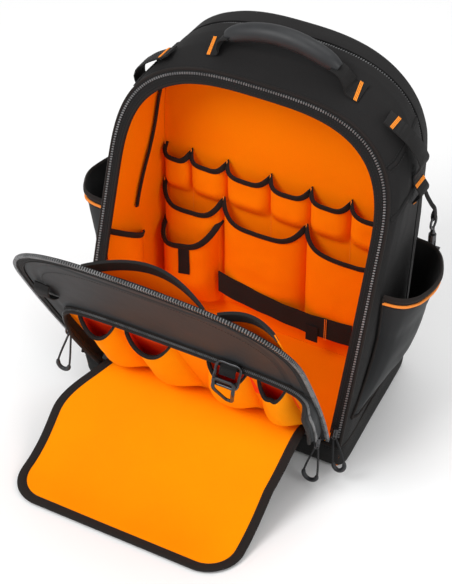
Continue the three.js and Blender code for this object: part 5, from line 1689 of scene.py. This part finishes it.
wire_z = 256 - 1.6
path = []
for t in np.linspace(0, 1, 6):
    z = wire_z + 12 + 30 * (1 - t)
    path.append(np.array([lerp(float(side_at(SNAP_Y, z)) + 1.0, SNAP_X + GAP, t**1.5), SNAP_Y, z]))
path += [
    np.array([SNAP_X + 2.2 * math.cos(a), SNAP_Y, wire_z - 3.8 * math.sin(a)])
    for a in np.linspace(0.2, math.pi, 8)
]
path += [np.array([SNAP_X - 2.2, SNAP_Y, wire_z + 4]), np.array([SNAP_X - 0.6, SNAP_Y, wire_z + 11])]
snap_path = smooth_path(path, 60)
make(
    "snap_web", [(tube(snap_path, np.cross(tangents(snap_path), (0, 1, 0)), flat_section(8, 1.5)), "webbing")],
    "snap_tab"
)
angle = np.linspace(0, 2 * np.pi, 49)[:-1]
eye = np.stack([SNAP_X + 0 * angle, SNAP_Y + 8.4 * np.cos(angle), EYE_Z + 8.4 * np.sin(angle)], 1)
make("snap_swivel_eye", [
    (tube(eye, (1, 0, 0), round_section(1.6, 10), closed=True), "dark_metal"),
    (
        turned(
            [
                (2.6, SHANK_TOP + 0.3), (3.2, SHANK_TOP + 1), (3.2, SHANK_TOP + 4), (2.4, SHANK_TOP + 6),
                (2.2, EYE_Z - 7.6)
            ]
        ),
        "dark_metal"
    ),
], "snap_eye")
cad = {o.name: o for o in bpy.context.scene.objects}
for node in ("snap_body", "snap_bolt"):
    piece = cad[node]
    for k in range(len(piece.material_slots)):
        piece.material_slots[k].material = FINISH["dark_metal"]
    print(node, "carried with", len(piece.material_slots), "slots")

# %% [markdown]
# ## Back pad and shoulder straps
# The back is padded with a thick mesh-covered cushion, and two curved straps hang from its top and run down
# into webbing. They are stuffed, so their faces are crowned, pinched at the bound edges and pressed in
# along sewn channels.
# A simulation could puff them up. The crown is instead worked out from the distance to the edge, and the
# sewn channels are pressed into it.

# %% Back pad
PAD_FOOT, PAD_TOP, PAD_CORNER = 84.0, 417.0, 30
pad_form = dict(width=304.0, foot=PAD_FOOT, top=PAD_TOP)
w = even_turns(220, **pad_form)
px, pz = outline(w, **pad_form)
low = pz - PAD_FOOT
round_in = PAD_CORNER - np.sqrt(np.maximum(PAD_CORNER**2 - (PAD_CORNER - low) ** 2, 0))
px = px - np.sign(px) * np.where(low < PAD_CORNER, round_in, 0)
half = len(px) // 2
t = np.linspace(0, 1, 120)[None]
gx = px[:half, None] * (1 - t) + px[::-1][:half, None] * t
gz = pz[:half, None] * (1 - t) + pz[::-1][:half, None] * t
right_edge, left_edge = px[:half, None], px[::-1][:half, None]
to_side = np.minimum(np.abs(gx - right_edge), np.abs(gx - left_edge))
edge = np.minimum(to_side, np.minimum(PAD_TOP - gz, gz - PAD_FOOT))
inward = np.clip(edge / 30, 0, 1)
crown = 6.5 + 7.0 * np.sqrt(inward * (2 - inward))
groove = np.exp(
    -((np.abs(gx) - 26) / 4.5) ** 2
) + np.exp(-((np.abs(gx) - 92) / 4.0) ** 2) * ((gz > 130) & (gz < 380))
bars = sum(np.exp(-(((gz - z0 - 0.12 * np.abs(gx)) / 4.0) ** 2)) for z0 in (165, 235, 305)) * (np.abs(gx) > 30)
soft = 0.7 * bumps(np.stack([gx, 0 * gx, gz], -1), 45, 130.0) * ease(edge, 4, 26)
crown = crown - 4.2 * np.clip(groove + bars, 0, 1) * ease(edge, 4, 26) + soft
pad_grid = np.stack([gx, REAR + GAP + crown, gz], -1)
pad_rim = np.stack([px, np.full_like(px, REAR + 5.2), pz], 1)
closed_rim = np.vstack([pad_rim, pad_rim[:1]])
back_pad = make("back_cushion", [
    (sheet(pad_grid, 6.0, (0, 1, 0)), "mesh_cloth"),
    (tube(resample(closed_rim, count=300)[:-1], (0, 1, 0), round_section(3.2, 10, 1.0), closed=True), "binding"),
], "back_pad")

# %% Shoulder straps
# a strap: share of height, share of half the width, how far it stands off the back
STRAP = np.array(
    [
        (0.85, 0.3, 0.27), (0.868, 0.31, 0.55), (0.83, 0.33, 0.8), (0.73, 0.37, 1), (0.58, 0.44, 1.05),
        (0.42, 0.53, 0.95), (0.33, 0.6, 0.85)
    ]
)
strap_line = smooth_path(STRAP, 110)


def shoulder_strap(name, side):
    index = np.linspace(0, 6, 110)
    narrow = np.where(index > 4, 1 - 0.13 * (index - 4), 1)
    centre = np.stack(
        [side * strap_line[:, 1] * WIDTH / 2, REAR + 14.3 + strap_line[:, 2] * 26 - 6.0, strap_line[:, 0] * HEIGHT],
        1
    )
    run = tangents(centre)
    up = unit(np.cross((1, 0, 0), run))
    up *= np.sign(np.sum(up * np.array([0, 1, 0.6]), axis=1, keepdims=True))
    width = 34 * narrow
    turns = np.linspace(0, 2 * np.pi, 49)[:-1]
    rings = []
    for k in range(110):
        end = min(1.0, (min(k, 109 - k) + 1.5) / 6)
        quilting = 0.9 * math.sin(k / 109 * math.pi * 9) ** 8
        c, s = np.cos(turns), np.sin(turns)
        flat_x = width[k] * np.sign(c) * np.abs(c) ** 0.75
        high = (5.6 - quilting) * end**0.5 * np.sign(s) * np.abs(s) ** 0.8
        rings.append(centre[k] + np.outer(flat_x * end**0.3, (1, 0, 0)) + np.outer(high, up[k]))
    rings = np.array(rings)
    edges = [rings[:, 0], rings[:, 24]]
    strap = make(f"shoulder_pad_{name}", [(loft(rings), "mesh_cloth")] + [
        (tube(edge_line, up, flat_section(3.4, 5.0, 0.45)), "binding") for edge_line in edges
    ], f"shoulder_strap_{name}")
    last = STRAP[-1]
    y = REAR + 14.3 + 6 + last[2] * 26
    web = smooth_path([
        (side * (last[1] - 0.03) * WIDTH / 2, y - 4.0, last[0] * HEIGHT + 22),
        (side * last[1] * WIDTH / 2, y, last[0] * HEIGHT - 1),
        (side * (last[1] + 0.08) * WIDTH / 2, y - 6, last[0] * HEIGHT - 45),
        (side * (last[1] + 0.12) * WIDTH / 2, REAR + 18, 78),
        (side * (last[1] + 0.14) * WIDTH / 2, REAR + 5, BOOT + 20),
        (side * (last[1] + 0.14) * WIDTH / 2, REAR + 3.1, BOOT + 5),
    ], 70)
    web_up = unit(np.cross((1, 0, 0), tangents(web)))
    web_up *= np.sign(web_up[:, 1:2] + 1e-9)
    buckle_at = web[24]
    frame_path = wire_loop(
        [buckle_at + np.array(d) for d in ((-16, 1.5, 12), (16, 1.5, 12), (16, 1.5, -12), (-16, 1.5, -12))]
    )
    make(f"strap_tail_{name}", [
        (tube(web, web_up, flat_section(WEB_WIDTH, 2.3)), "webbing"),
        (tube(frame_path, (0, 1, 0.2), round_section(2.4, 10, 1.3), closed=True), "moulded"),
        (
            tube(
                np.array([buckle_at + (dx, 2.4, 0) for dx in np.linspace(-15, 15, 8)]), (0, 1, 0.2),
                round_section(2.6, 10)
            ),
            "moulded"
        ),
    ], f"strap_webbing_{name}")


shoulder_strap("left", -1)
shoulder_strap("right", 1)
print("back made")

# %% [markdown]
# ## Stitches
# All the seams that were collected along the way are sewn now: dark ones on the black cloth,
# orange ones on the lining, and the close bars of the tacks.
# They wait until now so that each kind of stitch is one mesh.

# %% Sew the seams
repeat_along("dark_stitches", SEAMS_DARK, (2.3, 0.7, 0.55), "thread_black", narrowing=0.5)
repeat_along("lining_stitches", SEAMS_ORANGE, (2.2, 0.8, 0.6), "thread_orange", narrowing=0.5)
bar_points = []
for line, up in TACKS:
    path = resample(line, 1.5)
    bar_points.append((path, up))
repeat_along("tacks", bar_points, (1.9, 1.0, 0.9), "thread_orange", narrowing=0.4, turn=0.5)

# %% [markdown]
# ## Floor and light
# The bag stands on a plain pale floor against a bright background. One large soft light comes from above
# and the left, a weaker one from the right and a third from over the back. A pale world keeps the shadows open.

# %% Floor
floor_material = bpy.data.materials.new("paper")
floor_material.use_nodes = True
floor_material.node_tree.nodes["Principled BSDF"].inputs["Base Color"].default_value = (0.92, 0.92, 0.92, 1)
floor_material.node_tree.nodes["Principled BSDF"].inputs["Roughness"].default_value = 0.9
floor_mesh = bpy.data.meshes.new("floor_sheet")
floor_mesh.from_pydata([(-6, -6, -0.0004), (6, -6, -0.0004), (6, 6, -0.0004), (-6, 6, -0.0004)], [], [(0, 1, 2, 3)])
floor_mesh.materials.append(floor_material)
floor_object = bpy.data.objects.new("floor_sheet", floor_mesh)
bpy.context.scene.collection.objects.link(floor_object)
print("floor is", round(floor_object.dimensions.x, 1), "m wide")

# %% Lights
def soft_light(name, place, size, power, aim=(0, -0.05, 0.2)):
    lamp = bpy.data.lights.new(name, "AREA")
    lamp.shape, lamp.size, lamp.energy = "DISK", size, power
    made = bpy.data.objects.new(name, lamp)
    made.location = place
    made.rotation_mode = "QUATERNION"
    made.rotation_quaternion = (Vector(aim) - Vector(place)).to_track_quat("-Z", "Y")
    bpy.context.scene.collection.objects.link(made)


soft_light("key", place=(-0.9, -1.7, 2.2), size=1.4, power=40)
soft_light("side", place=(1.9, -0.7, 1.2), size=1.4, power=13)
soft_light("top", place=(0.2, 0.6, 2.4), size=1.8, power=16)
world = bpy.data.worlds.new("studio")
bpy.context.scene.world = world
world.use_nodes = True
world.node_tree.nodes["Background"].inputs["Color"].default_value = (1, 1, 1, 1)
world.node_tree.nodes["Background"].inputs["Strength"].default_value = 0.62
bpy.context.scene.view_settings.view_transform = "Standard"
print("lights ready")
